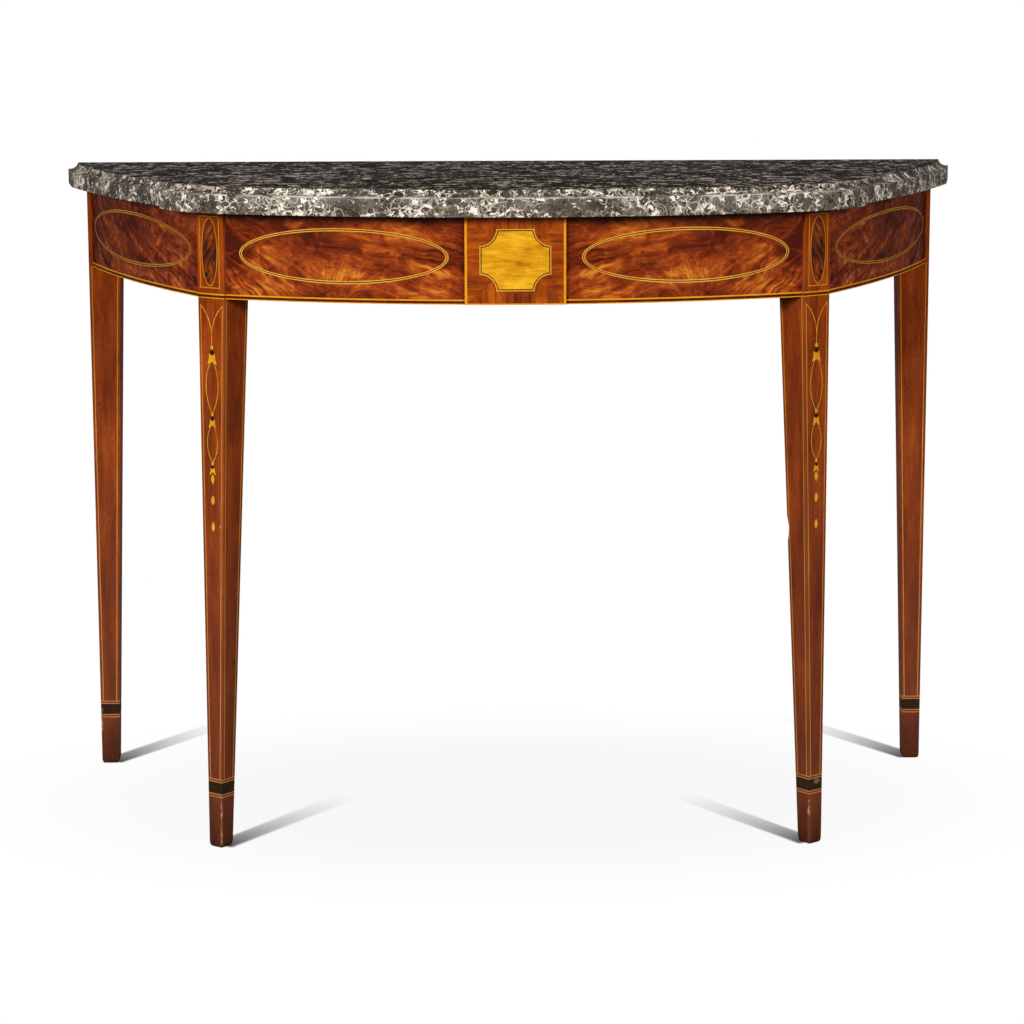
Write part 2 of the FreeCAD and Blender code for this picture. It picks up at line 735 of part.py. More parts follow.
panels = {
    "front": (front_centre, dim.frieze_radius, leg_bearing, -tablet_bearing, dim.front_oval_margin,
              (front_lap, 0), [front_blank]),
    "side": (side_centre, side_radius, side_start, side_end, dim.side_oval_margin,
             (side_lap, side_lap), [front_blank, rear_blank]),
}
bandings = [[], [], []]
for name, (centre, radius, start, end, margin, laps, trims) in panels.items():

    def skin_between(low, high):
        """The veneer layer of this panel between two heights, stopped by the legs."""
        layer = band(centre, radius, radius - dim.veneer_thickness, start - laps[0], end + laps[1], low, high)
        for trim in trims:
            layer = layer.cut(trim)
        return max(layer.Solids, key=lambda solid: solid.Volume)

    field = skin_between(field_bottom, frame_top)
    for level in range(3):
        bandings[level].append(skin_between(banding_levels[level], banding_levels[level + 1]))
    place = surface_place(centre, radius, (start + end) / 2, field_middle)
    across = (end - start) * radius - 2 * margin
    rings = []
    for step in range(4):
        inset = 2 * step * dim.string_width
        rings.append(through_frieze(oval(Vector(0, 0, 0), across - inset, dim.oval_height - inset), place))
    both_hands("veneer_" + name, field.cut(rings[0]))
    light_rings = [field.common(rings[step]).cut(rings[step + 1]) for step in (0, 2)]
    both_hands("oval_string_" + name, merge(light_rings))
    both_hands("oval_line_" + name, field.common(rings[1]).cut(rings[2]))
    both_hands("oval_panel_" + name, field.common(rings[3]))

for level in range(3):
    bandings[level].append(placed(stile_bands[level], front_leg_place))
both_hands("banding_light", merge(bandings[0] + bandings[2]))
both_hands("banding_dark", merge(bandings[1]))

# Tablet: a block proud of the frieze, crossbanded round a satinwood panel with hollow corners.

tablet_radius = dim.frieze_radius + dim.tablet_proud
tablet_ground = tablet_radius - dim.inlay_depth
tablet_place = surface_place(front_centre, tablet_radius, 0, (dim.frieze_bottom + frame_top) / 2)
tablet_skin = band(front_centre, tablet_radius, tablet_ground, -tablet_bearing, tablet_bearing,
                   dim.frieze_bottom, frame_top)
piece("tablet_block", band(front_centre, tablet_ground, core_radius, -tablet_bearing, tablet_bearing,
                           dim.frieze_bottom, frame_top))


def hollow_cornered(inset):
    """The panel's outline with concave quarter-round corners, drawn in by an even inset."""
    half_wide = dim.tablet_panel_width / 2
    half_tall = dim.tablet_panel_height / 2
    radius = dim.tablet_corner_radius + inset
    reach = math.sqrt(radius ** 2 - inset ** 2)
    bend = radius * math.sqrt(0.5)
    edges = []
    ends = []
    for hand_x, hand_y in ((1, 1), (1, -1), (-1, -1), (-1, 1)):
        on_level = Vector(hand_x * (half_wide - reach), hand_y * (half_tall - inset), 0)
        on_upright = Vector(hand_x * (half_wide - inset), hand_y * (half_tall - reach), 0)
        middle = Vector(hand_x * (half_wide - bend), hand_y * (half_tall - bend), 0)
        pair = (on_level, on_upright) if hand_x * hand_y > 0 else (on_upright, on_level)
        edges.append(Part.Arc(pair[0], middle, pair[1]).toShape())
        ends.append(pair)
    for index in range(4):
        edges.append(Part.LineSegment(ends[index][1], ends[(index + 1) % 4][0]).toShape())
    return Part.Face(Part.Wire(Part.__sortEdges__(edges)))


half_wide = dim.tablet_width / 2 - dim.tablet_border
half_tall = dim.frieze_height / 2 - dim.tablet_border * 2 / 3
border_inside = through_frieze(rectangle(Vector(-half_wide, -half_tall, 0), Vector(half_wide, half_tall, 0)),
                               tablet_place)
panel_steps = [through_frieze(hollow_cornered(step * dim.string_width), tablet_place) for step in range(3)]
crossband = tablet_skin.common(border_inside).cut(panel_steps[0])


def mitred(hand_x, hand_y):
    """The quarter of the crossbanding on one side of the panel, cut on the diagonals."""
    if hand_x:
        corners = [(hand_x * half_wide, -half_tall), (hand_x * half_wide, half_tall), (0, 0)]
    else:
        corners = [(-half_wide, hand_y * half_tall), (half_wide, hand_y * half_tall), (0, 0)]
    return crossband.common(through_frieze(outline([Vector(x, y, 0) for x, y in corners]), tablet_place))


piece("tablet_border", tablet_skin.cut(border_inside))
piece("tablet_crossband_upright", merge([mitred(0, 1), mitred(0, -1)]))
piece("tablet_crossband_level", merge([mitred(1, 0), mitred(-1, 0)]))
piece("tablet_light_string", tablet_skin.common(panel_steps[0]).cut(panel_steps[1]))
piece("tablet_dark_string", tablet_skin.common(panel_steps[1]).cut(panel_steps[2]))
piece("tablet_panel", tablet_skin.common(panel_steps[2]))

# Marble slab: a bowed front, gently bowed sides and a cove worked round the upper edge.

slab_front = dim.frieze_radius + dim.front_overhang
slab_side = side_radius + dim.side_overhang


def circles_meet(first, first_radius, second, second_radius):
    """The foremost point shared by two circles."""
    across = second - first
    gap = across.Length
    along = (first_radius ** 2 - second_radius ** 2 + gap ** 2) / (2 * gap)
    rise = math.sqrt(first_radius ** 2 - along ** 2)
    middle = first + across * (along / gap)
    side = Vector(-across.y, across.x, 0) * (rise / gap)
    return min((middle + side, middle - side), key=lambda point: point.y)


def toward(centre, point, radius):
    return centre + (point - centre).normalize() * radius


def slab_path(inset, overrun):
    """The moulded edge from the left back corner round to the right, as points of its lines and arcs."""
    front = slab_front - inset
    side = slab_side - inset
    radius = dim.slab_corner_radius - inset
    corner = Vector(inset - dim.slab_width / 2, back_y, 0)
    end_y = back_y - dim.slab_end_length
    end_x = side_centre.x - math.sqrt(side ** 2 - (end_y - side_centre.y) ** 2)
    end = Vector(end_x, end_y, 0)
    eye = circles_meet(front_centre, front - radius, side_centre, side - radius)
    side_touch = toward(side_centre, eye, side)
    front_touch = toward(front_centre, eye, front)
    side_bearing = (bearing_of(side_centre, end) + bearing_of(side_centre, side_touch)) / 2
    eye_bearing = (bearing_of(side_centre, eye) + bearing_of(front_centre, eye)) / 2
    left = [
        (corner + (corner - end).normalize() * overrun, end),
        (end, on_circle(side_centre, side, side_bearing), side_touch),
        (side_touch, on_circle(eye, radius, eye_bearing), front_touch),
    ]
    bow = [(front_touch, on_circle(front_centre, front, 0), flip_point(front_touch))]
    right = [tuple(flip_point(point) for point in reversed(points)) for points in reversed(left)]
    return left + bow + right


def edge_through(points):
    return (Part.LineSegment if len(points) == 2 else Part.Arc)(*points).toShape()


def slab_face(inset):
    path = slab_path(inset, 0)
    back = (path[-1][-1], path[0][0])
    return Part.Face(Part.Wire([edge_through(points) for points in path + [back]]))


def cove_cutter():
    """The hollow removed from the upper edge, carried round the slab."""
    path = slab_path(0, dim.cove_width)
    start = path[0][0]
    ahead = (path[0][1] - start).normalize()
    outward = Vector(ahead.y, -ahead.x, 0)
    fall = dim.cove_width / math.hypot(dim.cove_width, dim.cove_height) * dim.cove_hollow
    draw = dim.cove_height / math.hypot(dim.cove_width, dim.cove_height) * dim.cove_hollow
    inner = -dim.ledge_width - dim.cove_width

    def at(across, below):
        return start + outward * across + up * (dim.slab_thickness - below)

    ledge = at(-dim.ledge_width, dim.cove_height)
    hollow = at(-dim.ledge_width - dim.cove_width / 2 - draw, dim.cove_height / 2 + fall)
    arris = at(inner, 0)
    above = at(inner, -dim.ledge_width)
    beyond = at(dim.ledge_width, -dim.ledge_width)
    lower = at(dim.ledge_width, dim.cove_height)
    profile = Part.Wire([edge_through(points) for points in (
        (ledge, hollow, arris), (arris, above), (above, beyond), (beyond, lower), (lower, ledge))])
    spine = Part.Wire([edge_through(points) for points in path])
    return spine.makePipeShell([profile], True, False, 1)


def end_relief():
    """The shallow step under the slab's edge at both ends, clear of the frame below."""
    rise = up * dim.relief_depth
    rim = slab_face(0).extrude(rise).cut(slab_face(dim.relief_width).extrude(rise))
    reach = dim.slab_width
    ahead = leg_corner.x - dim.relief_from_leg
    left = rim.common(box(Vector(-reach, -reach, 0), Vector(ahead, reach, dim.relief_depth)))
    return [left, flip(left)]


slab_plan = doc.addObject("Part::Feature", "slab_plan")
slab_plan.Shape = slab_face(0)
slab_blank = doc.addObject("Part::Extrusion", "slab_blank")
slab_blank.Base = slab_plan
slab_blank.DirMode = "Custom"
slab_blank.Dir = up
slab_blank.Solid = True
slab_blank.setExpression("LengthFwd", "Sizes.slab_thickness")
slab_tool = doc.addObject("Part::Feature", "slab_edge_tools")
slab_tool.Shape = merge([cove_cutter()] + end_relief())
slab = doc.addObject("Part::Cut", "marble_top")
slab.Label = "marble_top"
slab.Base = slab_blank
slab.Tool = slab_tool
slab.Placement = Placement(up * frame_top, Rotation())
nodes.append(slab)

doc.recompute()
faulty = [item.Label for item in doc.Objects if "Invalid" in item.State or "Error" in item.State]
for node in nodes:
    if node.Shape.isNull() or not node.Shape.isValid() or not node.Shape.Solids:
        faulty.append(node.Label)
if faulty:
    raise RuntimeError("not built: " + ", ".join(faulty))
os.makedirs("parts", exist_ok=True)
for node in nodes:
    node.Shape.exportStep("parts/%s.step" % node.Label)
print("%d sub-parts, %d solids" % (len(nodes), sum(len(node.Shape.Solids) for node in nodes)))
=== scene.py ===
import math

import bmesh
import bpy
from mathutils import Matrix, Vector


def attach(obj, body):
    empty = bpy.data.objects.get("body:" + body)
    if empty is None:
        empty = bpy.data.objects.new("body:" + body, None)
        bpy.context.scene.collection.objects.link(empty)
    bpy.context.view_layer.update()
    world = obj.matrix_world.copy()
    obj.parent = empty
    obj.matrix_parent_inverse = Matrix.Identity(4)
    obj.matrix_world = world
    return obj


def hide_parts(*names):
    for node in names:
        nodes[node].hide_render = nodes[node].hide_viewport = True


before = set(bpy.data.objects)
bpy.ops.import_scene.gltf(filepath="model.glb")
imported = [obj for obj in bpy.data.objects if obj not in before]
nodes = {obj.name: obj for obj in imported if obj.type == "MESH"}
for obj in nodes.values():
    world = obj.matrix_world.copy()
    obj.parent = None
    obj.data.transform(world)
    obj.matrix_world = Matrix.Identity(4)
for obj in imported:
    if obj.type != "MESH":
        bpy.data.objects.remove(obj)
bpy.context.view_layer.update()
mm = 0.001
print("frame loaded:", len(nodes), "pieces of the table")


def linear(hexColour):
    channels = [int(hexColour[at:at + 2], 16) / 255 for at in (1, 3, 5)]
    return [c / 12.92 if c <= 0.04045 else ((c + 0.055) / 1.055) ** 2.4 for c in channels] + [1.0]


# adds a node, sets its properties, then its inputs: a node or a socket is linked, anything else is a value
def addNode(tree, kind, inputs=None, stops=None, points=None, **settings):
    node = tree.nodes.new(kind)
    for name, value in settings.items():
        setattr(node, name, value)
    if stops:
        ends = node.color_ramp.elements
        ends[0].position, ends[0].color = stops[0][0], linear(stops[0][1])
        ends[1].position, ends[1].color = stops[-1][0], linear(stops[-1][1])
        for place, colour in stops[1:-1]:
            ends.new(place).color = linear(colour)
    if points:
        line = node.mapping.curves[0].points
        line[0].location, line[1].location = points[0], points[-1]
        for point in points[1:-1]:
            line.new(*point)
        node.mapping.update()
    for socket, value in (inputs or {}).items():
        if isinstance(value, bpy.types.Node):
            value = value.outputs[0]
        if isinstance(value, bpy.types.NodeSocket):
            tree.links.new(value, node.inputs[socket])
        else:
            node.inputs[socket].default_value = value
    return node


def reckon(tree, operation, *values, **settings):
    return addNode(tree, "ShaderNodeMath", dict(enumerate(values)), operation=operation, **settings)


def vectors(tree, operation, *values):
    return addNode(tree, "ShaderNodeVectorMath", dict(enumerate(values)), operation=operation)


def scaled(tree, where, factor):
    return addNode(tree, "ShaderNodeVectorMath", {0: where, "Scale": factor}, operation="SCALE")


def split(tree, where):
    return addNode(tree, "ShaderNodeSeparateXYZ", {0: where}).outputs


def joined(tree, *values):
    return addNode(tree, "ShaderNodeCombineXYZ", dict(enumerate(values)))


# a value that goes from least to most as another goes from low to high
def ranged(tree, value, low, high, most=1.0, least=0.0, soft="LINEAR"):
    return addNode(tree, "ShaderNodeMapRange", {
        "Value": value, "From Min": low, "From Max": high, "To Min": least, "To Max": most},
        interpolation_type=soft)


# a paint laid over a colour, by an amount from 0 to 1
def paintOver(tree, amount, below, paint, **settings):
    paint = linear(paint) if isinstance(paint, str) else paint
    return addNode(tree, "ShaderNodeMix", {0: amount, 6: below, 7: paint}, data_type="RGBA", **settings).outputs[2]


# noise whose streaks have the given size in mm along each axis; shift goes to another part of the noise
def streaks(tree, where, size, detail=2.0, shift=0.0, distortion=0.0):
    turned = addNode(tree, "ShaderNodeMapping", {
        "Vector": where, "Location": (shift, shift * 0.7, shift * 1.3), "Scale": [1 / s for s in size]})
    return addNode(tree, "ShaderNodeTexNoise", {
        "Vector": turned, "Scale": 1.0, "Detail": detail, "Roughness": 0.55, "Distortion": distortion})


# the place pushed about by a noise, up to half of reach either way
def wandering(tree, where, noise, reach):
    centred = vectors(tree, "SUBTRACT", noise.outputs["Color"], (0.5, 0.5, 0.5))
    return vectors(tree, "MULTIPLY_ADD", centred, reach, where)


# adds up noises and spots on a starting value: each pair is a node and how much it counts
def blendOf(tree, start, parts):
    total = start
    for node, weight in parts:
        total = reckon(tree, "MULTIPLY_ADD", node, weight, total).outputs[0]
    return total


# a soft round patch, 1 in the middle and 0 at the given half-sizes
def patch(tree, where, centre, reach):
    local = addNode(tree, "ShaderNodeMapping", {"Vector": where, "Location": centre, "Scale": reach},
                    vector_type="TEXTURE")
    return addNode(tree, "ShaderNodeTexGradient", {"Vector": local}, gradient_type="SPHERICAL")


# a Principled surface under a thin polish; whatever is even all over sits on the shader itself
def startFinish(name, finish):
    material = bpy.data.materials.new(name)
    material.use_nodes = True
    tree = material.node_tree
    shader = tree.nodes["Principled BSDF"]
    for socket, value in (("Specular IOR Level", 0.0), ("IOR", 1.5), ("Roughness", finish["roughness"]),
                          ("Coat Weight", finish["polish"]), ("Coat Roughness", finish["polishRoughness"])):
        shader.inputs[socket].default_value = value
    material.diffuse_color = linear(finish["swatch"])
    place = addNode(tree, "ShaderNodeTexCoord").outputs["Object"]
    return material, tree, shader, scaled(tree, place, 1 / mm)


# joins up the colour, a roughness that varies with one noise, and the faint relief of another
def endFinish(tree, shader, colour, roughness, uneven, spread, height=None, relief=None):
    tree.links.new(colour, shader.inputs["Base Color"])
    gloss = ranged(tree, uneven, 0.0, 1.0, roughness + spread[1], roughness - spread[0])
    tree.links.new(gloss.outputs[0], shader.inputs["Roughness"])
    if relief:
        strength, deep = relief
        bump = addNode(tree, "ShaderNodeBump", {"Strength": strength, "Distance": deep * mm, "Height": height})
        tree.links.new(bump.outputs[0], shader.inputs["Normal"])


# Timber with a straight grain. The sizes of streak, board, cloud and pore are mm along X, Y and Z, and weights
# say how much the first three count. The tint towards the floor, the painted shade under the slab and the grime
# are heights (from, to), strength and colour; spots, nicks and throats are place, half-sizes and strength.
boxwoodGrain = {
    "streak": (3.0, 3.0, 30.0), "board": (25.0, 25.0, 60.0), "cloud": (45.0, 45.0, 45.0),
    "pore": (0.8, 0.8, 5.0), "poreDepth": 0.1, "weights": (0.3, 0.4, 0.6),
    "roughness": 0.45, "polish": 0.05, "polishRoughness": 0.25}
pearwoodGrain = {
    "streak": (2.0, 2.0, 24.0), "board": (14.0, 14.0, 60.0), "cloud": (30.0, 30.0, 30.0),
    "pore": (0.8, 0.8, 6.0), "poreDepth": 0.2, "weights": (0.4, 0.4, 0.4),
    "roughness": 0.5, "polish": 0.03, "polishRoughness": 0.3}
# painted shade: darkens the tops of the legs and the stile strings, where the slab's shadow falls
paintedShadeUnderSlab = (828.0, 845.0, 0.65, "#1C0903")
woods = {
    # old Cuban mahogany, planed and French polished: red-brown, fine streaks along the leg, short dark pores
    "mahogany": {
        "streak": (2.0, 2.0, 34.0), "board": (13.0, 13.0, 150.0), "cloud": (34.0, 34.0, 90.0),
        "pore": (0.9, 0.9, 6.0), "poreDepth": 0.75, "weights": (0.85, 0.9, 1.0),
        "stops": [(0.0, "#561D07"), (0.4, "#87360D"), (0.65, "#A04412"), (1.0, "#BA591B")],
        # darker towards the floor, partly dust and partly painted shade; painted shade under the slab; real dirt
        # up from the floor
        "floorward": (780.0, 40.0, 0.62, "#603A2D"), "paintedShade": paintedShadeUnderSlab, "grimeAndShade": (74.0, 0.0, 0.6, "#1E120C"),
        # the lighter front corner: rubbed wear with a painted highlight
        "arris": ((371.8, -197.5, 734.0), (390.8, -182.9, 2.5), 4.2, 1.0, 0.5, "#A8633C"), "bare": "#D2A078",
        "spots": [(390.4, -183.2, 47.0, 3.2, 3.2, 7.0, 1.0), (389.9, -183.6, 57.0, 2.2, 2.2, 7.0, 0.8),
                  (404.0, -171.0, 56.0, 2.0, 2.0, 6.0, 0.6), (-390.3, -183.3, 50.0, 1.7, 1.7, 18.0, 0.8),
                  (-390.7, -183.0, 16.0, 1.7, 1.7, 20.0, 0.7), (-602.6, 265.5, 58.0, 2.4, 2.4, 12.0, 0.8),
                  (-383.2, -188.8, 436.0, 2.0, 2.0, 2.5, 0.9), (-381.2, -190.3, 472.0, 1.6, 1.6, 10.0, 0.5),
                  (360.6, -164.6, 418.0, 2.5, 2.5, 12.0, 0.25)],
        "nicks": [(-375.1, -178.3, 295.5, 4.5, 4.5, 2.0, 0.8), (-371.6, -171.0, 251.0, 5.5, 5.5, 1.8, 0.8),
                  (-380.6, -188.0, 341.0, 2.6, 2.6, 3.6, 0.7), (-376.0, -180.0, 277.0, 3.0, 3.0, 2.2, 0.5),
                  (-371.0, -172.0, 352.0, 3.0, 3.0, 2.6, 0.5), (-374.0, -176.0, 206.0, 6.0, 6.0, 9.0, 0.3),
                  (-395.0, -180.0, 372.0, 8.0, 8.0, 3.0, 0.3), (376.2, -181.5, 331.0, 2.6, 2.6, 2.2, 0.7),
                  (398.0, -176.8, 286.0, 2.2, 2.2, 5.0, 0.6), (385.5, -187.0, 316.0, 2.0, 2.0, 4.0, 0.5)],
        "roughness": 0.5, "polish": 0.05, "polishRoughness": 0.28, "swatch": "#8A3C12", "shift": 1.7},
    # mahogany veneer laid across the tablet's edge: orange-brown, short streaks square to the border
    "crossbanded mahogany upright": {
        "streak": (2.4, 8.0, 60.0), "board": (9.0, 30.0, 70.0), "cloud": (22.0, 30.0, 34.0),
        "pore": (0.8, 2.0, 6.0), "poreDepth": 0.85, "weights": (1.0, 1.2, 1.5),
        "stops": [(0.0, "#521A04"), (0.35, "#7E320A"), (0.65, "#9C440C"), (1.0, "#BE5E12")],
        "roughness": 0.45, "polish": 0.12, "polishRoughness": 0.22, "swatch": "#9A420C", "shift": 9.1},
    "crossbanded mahogany level": {
        "streak": (60.0, 8.0, 2.2), "board": (70.0, 30.0, 8.0), "cloud": (34.0, 30.0, 26.0),
        "pore": (6.0, 2.0, 0.8), "poreDepth": 0.85, "weights": (1.0, 1.1, 1.2),
        "stops": [(0.0, "#5C1D04"), (0.35, "#88360A"), (0.65, "#A4480C"), (1.0, "#C26012")],
        "roughness": 0.45, "polish": 0.12, "polishRoughness": 0.22, "swatch": "#A1460A", "shift": 4.4},
    # boxwood stringing: close golden wood, almost no grain, toned by the polish
    "boxwood": {
        **boxwoodGrain, "swatch": "#E0A030", "shift": 2.9,
        "stops": [(0.0, "#B0600C"), (0.45, "#DC8E18"), (0.7, "#E9A222"), (1.0, "#F3BA42")]},
    # boxwood round the front ovals, faded to straw
    "boxwood faded": {
        **boxwoodGrain, "swatch": "#D8A444", "shift": 14.2,
        "streak": (30.0, 3.0, 3.0), "board": (60.0, 25.0, 25.0), "pore": (5.0, 0.8, 0.8),
        "stops": [(0.0, "#B87A1E"), (0.45, "#DC9E36"), (0.7, "#E8B24C"), (1.0, "#F2C86C")]},
    # boxwood round the side ovals, dulled under old polish
    "boxwood dull": {
        **boxwoodGrain, "swatch": "#B08038", "shift": 15.9,
        "streak": (14.0, 14.0, 3.0), "board": (40.0, 40.0, 25.0), "pore": (3.0, 3.0, 0.8), "poreDepth": 0.15,
        "weights": (0.4, 0.5, 0.8), "roughness": 0.5, "polish": 0.03, "polishRoughness": 0.3,
        "stops": [(0.0, "#8E5A1C"), (0.45, "#B87E2E"), (0.7, "#C8903C"), (1.0, "#D8A852")]},
    # boxwood on the stiles, toned orange
    "boxwood toned": {
        **boxwoodGrain, "swatch": "#D0801C", "shift": 17.3, "paintedShade": paintedShadeUnderSlab,
        "stops": [(0.0, "#A05A10"), (0.45, "#D0801C"), (0.7, "#DC9226"), (1.0, "#E6A83A")]},
    # boxwood on the legs, browner from handling
    "boxwood worn": {
        **boxwoodGrain, "swatch": "#D89028", "shift": 5.3, "floorward": (600.0, 90.0, 0.55, "#C8865A"),
        "streak": (3.0, 3.0, 40.0), "board": (25.0, 25.0, 90.0), "cloud": (45.0, 45.0, 70.0), "poreDepth": 0.15,
        "weights": (0.4, 0.5, 0.7), "roughness": 0.5, "polishRoughness": 0.3,
        "stops": [(0.0, "#9A5412"), (0.45, "#C67C26"), (0.7, "#D69032"), (1.0, "#E2A848")]},
    # boxwood of the husks, scorched in hot sand: bright gold with orange-brown between the petals
    "boxwood sanded": {
        **boxwoodGrain, "swatch": "#E0A030", "shift": 12.4, "poreDepth": 0.3, "poreColour": "#7A3A08",
        "streak": (1.5, 1.5, 13.0), "board": (5.0, 5.0, 16.0), "weights": (1.2, 0.9, 0.4),
        "stops": [(0.0, "#A05208"), (0.35, "#DA9018"), (0.6, "#ECAC26"), (1.0, "#F8C648")],
        "throats": [(390.6, -183.1, 663.2, 5.0, 5.0, 4.0, 1.0), (391.8, -182.2, 577.1, 4.2, 4.2, 3.4, 1.0),
                    (393.2, -181.1, 513.2, 3.2, 3.2, 2.6, 1.0)]},
    # ebonised pearwood: brown-black with a dull shine
    "ebonised pearwood": {
        **pearwoodGrain, "swatch": "#1B100A", "shift": 3.6, "polish": 0.04, "bare": "#A8865A",
        "spots": [(-603.0, 265.5, 80.0, 3.4, 3.4, 7.0, 0.9), (400.5, -175.4, 86.0, 6.5, 6.5, 4.5, 0.6)],
        "stops": [(0.0, "#1D120C"), (0.5, "#342419"), (1.0, "#503A2B")]},
    # stained pearwood of the fine lines: dark chocolate brown
    "stained pearwood": {
        **pearwoodGrain, "swatch": "#321408", "shift": 18.8,
        "stops": [(0.0, "#1A0803"), (0.5, "#321408"), (1.0, "#4E2412")]},
    # stained pearwood of the banding: red-brown, where the stain has faded
    "stained pearwood faded": {
        **pearwoodGrain, "swatch": "#4E1B09", "shift": 20.7,
        "streak": (24.0, 2.0, 2.0), "board": (60.0, 14.0, 14.0), "cloud": (50.0, 30.0, 30.0),
        "pore": (6.0, 0.8, 0.8), "poreDepth": 0.3, "weights": (0.5, 0.6, 0.8),
        "stops": [(0.0, "#240B04"), (0.5, "#4E1B09"), (1.0, "#74300F")]},
    # West Indian satinwood: bright gold with a silky level figure and a few orange flecks
    "satinwood": {
        "streak": (21.0, 12.0, 2.6), "board": (42.0, 20.0, 9.0), "cloud": (26.0, 20.0, 16.0),
        "pore": (7.0, 3.0, 1.1), "poreDepth": 0.55, "poreColour": "#B4600A", "weights": (1.4, 1.1, 1.2),
        "stops": [(0.0, "#AE6006"), (0.3, "#CE8A10"), (0.55, "#DA9A16"), (1.0, "#EEB82A")],
        "roughness": 0.4, "polish": 0.12, "polishRoughness": 0.2, "swatch": "#E29A14", "shift": 6.2},
    # unfinished pine inside the frame, browned by age, with wide soft growth rings
    "pine": {
        "streak": (70.0, 4.0, 4.5), "board": (180.0, 11.0, 14.0), "cloud": (120.0, 60.0, 60.0),
        "pore": (9.0, 1.0, 1.0), "poreDepth": 0.2, "weights": (0.5, 0.8, 0.4),
        "stops": [(0.0, "#6E4A28"), (0.45, "#946A3E"), (0.75, "#A87C4C"), (1.0, "#BC9364")],
        "roughness": 0.8, "polish": 0.0, "polishRoughness": 0.5, "swatch": "#946A3E", "shift": 8.0},
}
grain = {  # the same for all of them: noises are detail and shift, relief is strength and mm
    "noises": {"streak": (3.0, 0.0), "board": (2.0, 3.0), "cloud": (2.0, 6.0), "pore": (1.0, 9.0)},
    "poreEdge": (0.6, 0.75), "poreColour": "#1C0A04", "nick": "#2A120A", "throat": "#280B06", "markEdge": 0.45,
    "chip": ((2.6, 2.6, 5.0), 3.0, 4.0), "chipEdge": (0.42, 0.52), "ragged": 34.0,
    "spread": (0.1, 0.1), "relief": (0.12, 0.2),
}


def straightGrain(name):
    wood = woods[name]
    material, tree, shader, inMm = startFinish(name, wood)
    fine, board, cloud, pore = (streaks(tree, inMm, wood[kind], detail, wood["shift"] + further)
                                for kind, (detail, further) in grain["noises"].items())
    weights = wood["weights"]
    tone = blendOf(tree, 0.5 - sum(weights) / 2, zip((fine, board, cloud), weights))
    ramp = addNode(tree, "ShaderNodeValToRGB", {0: tone}, stops=wood["stops"])
    dash = reckon(tree, "MULTIPLY", ranged(tree, pore, *grain["poreEdge"]), wood["poreDepth"])
    colour = paintOver(tree, dash, ramp.outputs[0], wood.get("poreColour", grain["poreColour"]))
    # a tint towards the floor (mahogany: darker, partly dust, partly painted shade), and painted shade under the
    # slab
    axes = split(tree, inMm)
    for toneKey in ("floorward", "paintedShade"):
        if toneKey in wood:
            *band, tint = wood[toneKey]
            colour = paintOver(tree, ranged(tree, axes["Z"], *band), colour, tint)
    # dirt drawn up from the floor
    if "grimeAndShade" in wood:
        high, low, most, tint = wood["grimeAndShade"]
        ragged = reckon(tree, "MULTIPLY_ADD", cloud, grain["ragged"], axes["Z"])
        middle = grain["ragged"] / 2
        colour = paintOver(tree, ranged(tree, ragged, high + middle, low + middle, most), colour, tint)
    # the front corner of a front leg is lighter: rubbed wear with a painted highlight along it
    if "arris" in wood:
        top, toe, *band, tint = wood["arris"]
        mirrored = joined(tree, reckon(tree, "ABSOLUTE", axes["X"]), axes["Y"], axes["Z"])
        apart = vectors(tree, "SUBTRACT", mirrored, top)
        apart = vectors(tree, "CROSS_PRODUCT", apart, (Vector(top) - Vector(toe)).normalized())
        edge = ranged(tree, vectors(tree, "LENGTH", apart).outputs["Value"], *band)
        colour = paintOver(tree, reckon(tree, "MULTIPLY", edge, board), colour, tint)
    # knocks that show bare wood, dark nicks, and the scorched throat of each husk on both legs
    marks = [(spot, wood["bare"], True) for spot in wood.get("spots", [])]
    marks += [(nick, grain["nick"], True) for nick in wood.get("nicks", [])]
    marks += [((hand * x, *rest), grain["throat"], False)
              for x, *rest in wood.get("throats", []) for hand in (1, -1)]
    if marks:
        chip = ranged(tree, streaks(tree, inMm, *grain["chip"]), *grain["chipEdge"])
    for (*place, most), paint, ragged in marks:
        spot = ranged(tree, patch(tree, inMm, place[:3], place[3:]), 0.0, grain["markEdge"], most)
        if ragged:
            spot = reckon(tree, "MULTIPLY", spot, chip)
        colour = paintOver(tree, spot, colour, paint)
    endFinish(tree, shader, colour, wood["roughness"], cloud, grain["spread"], fine, grain["relief"])
    return material
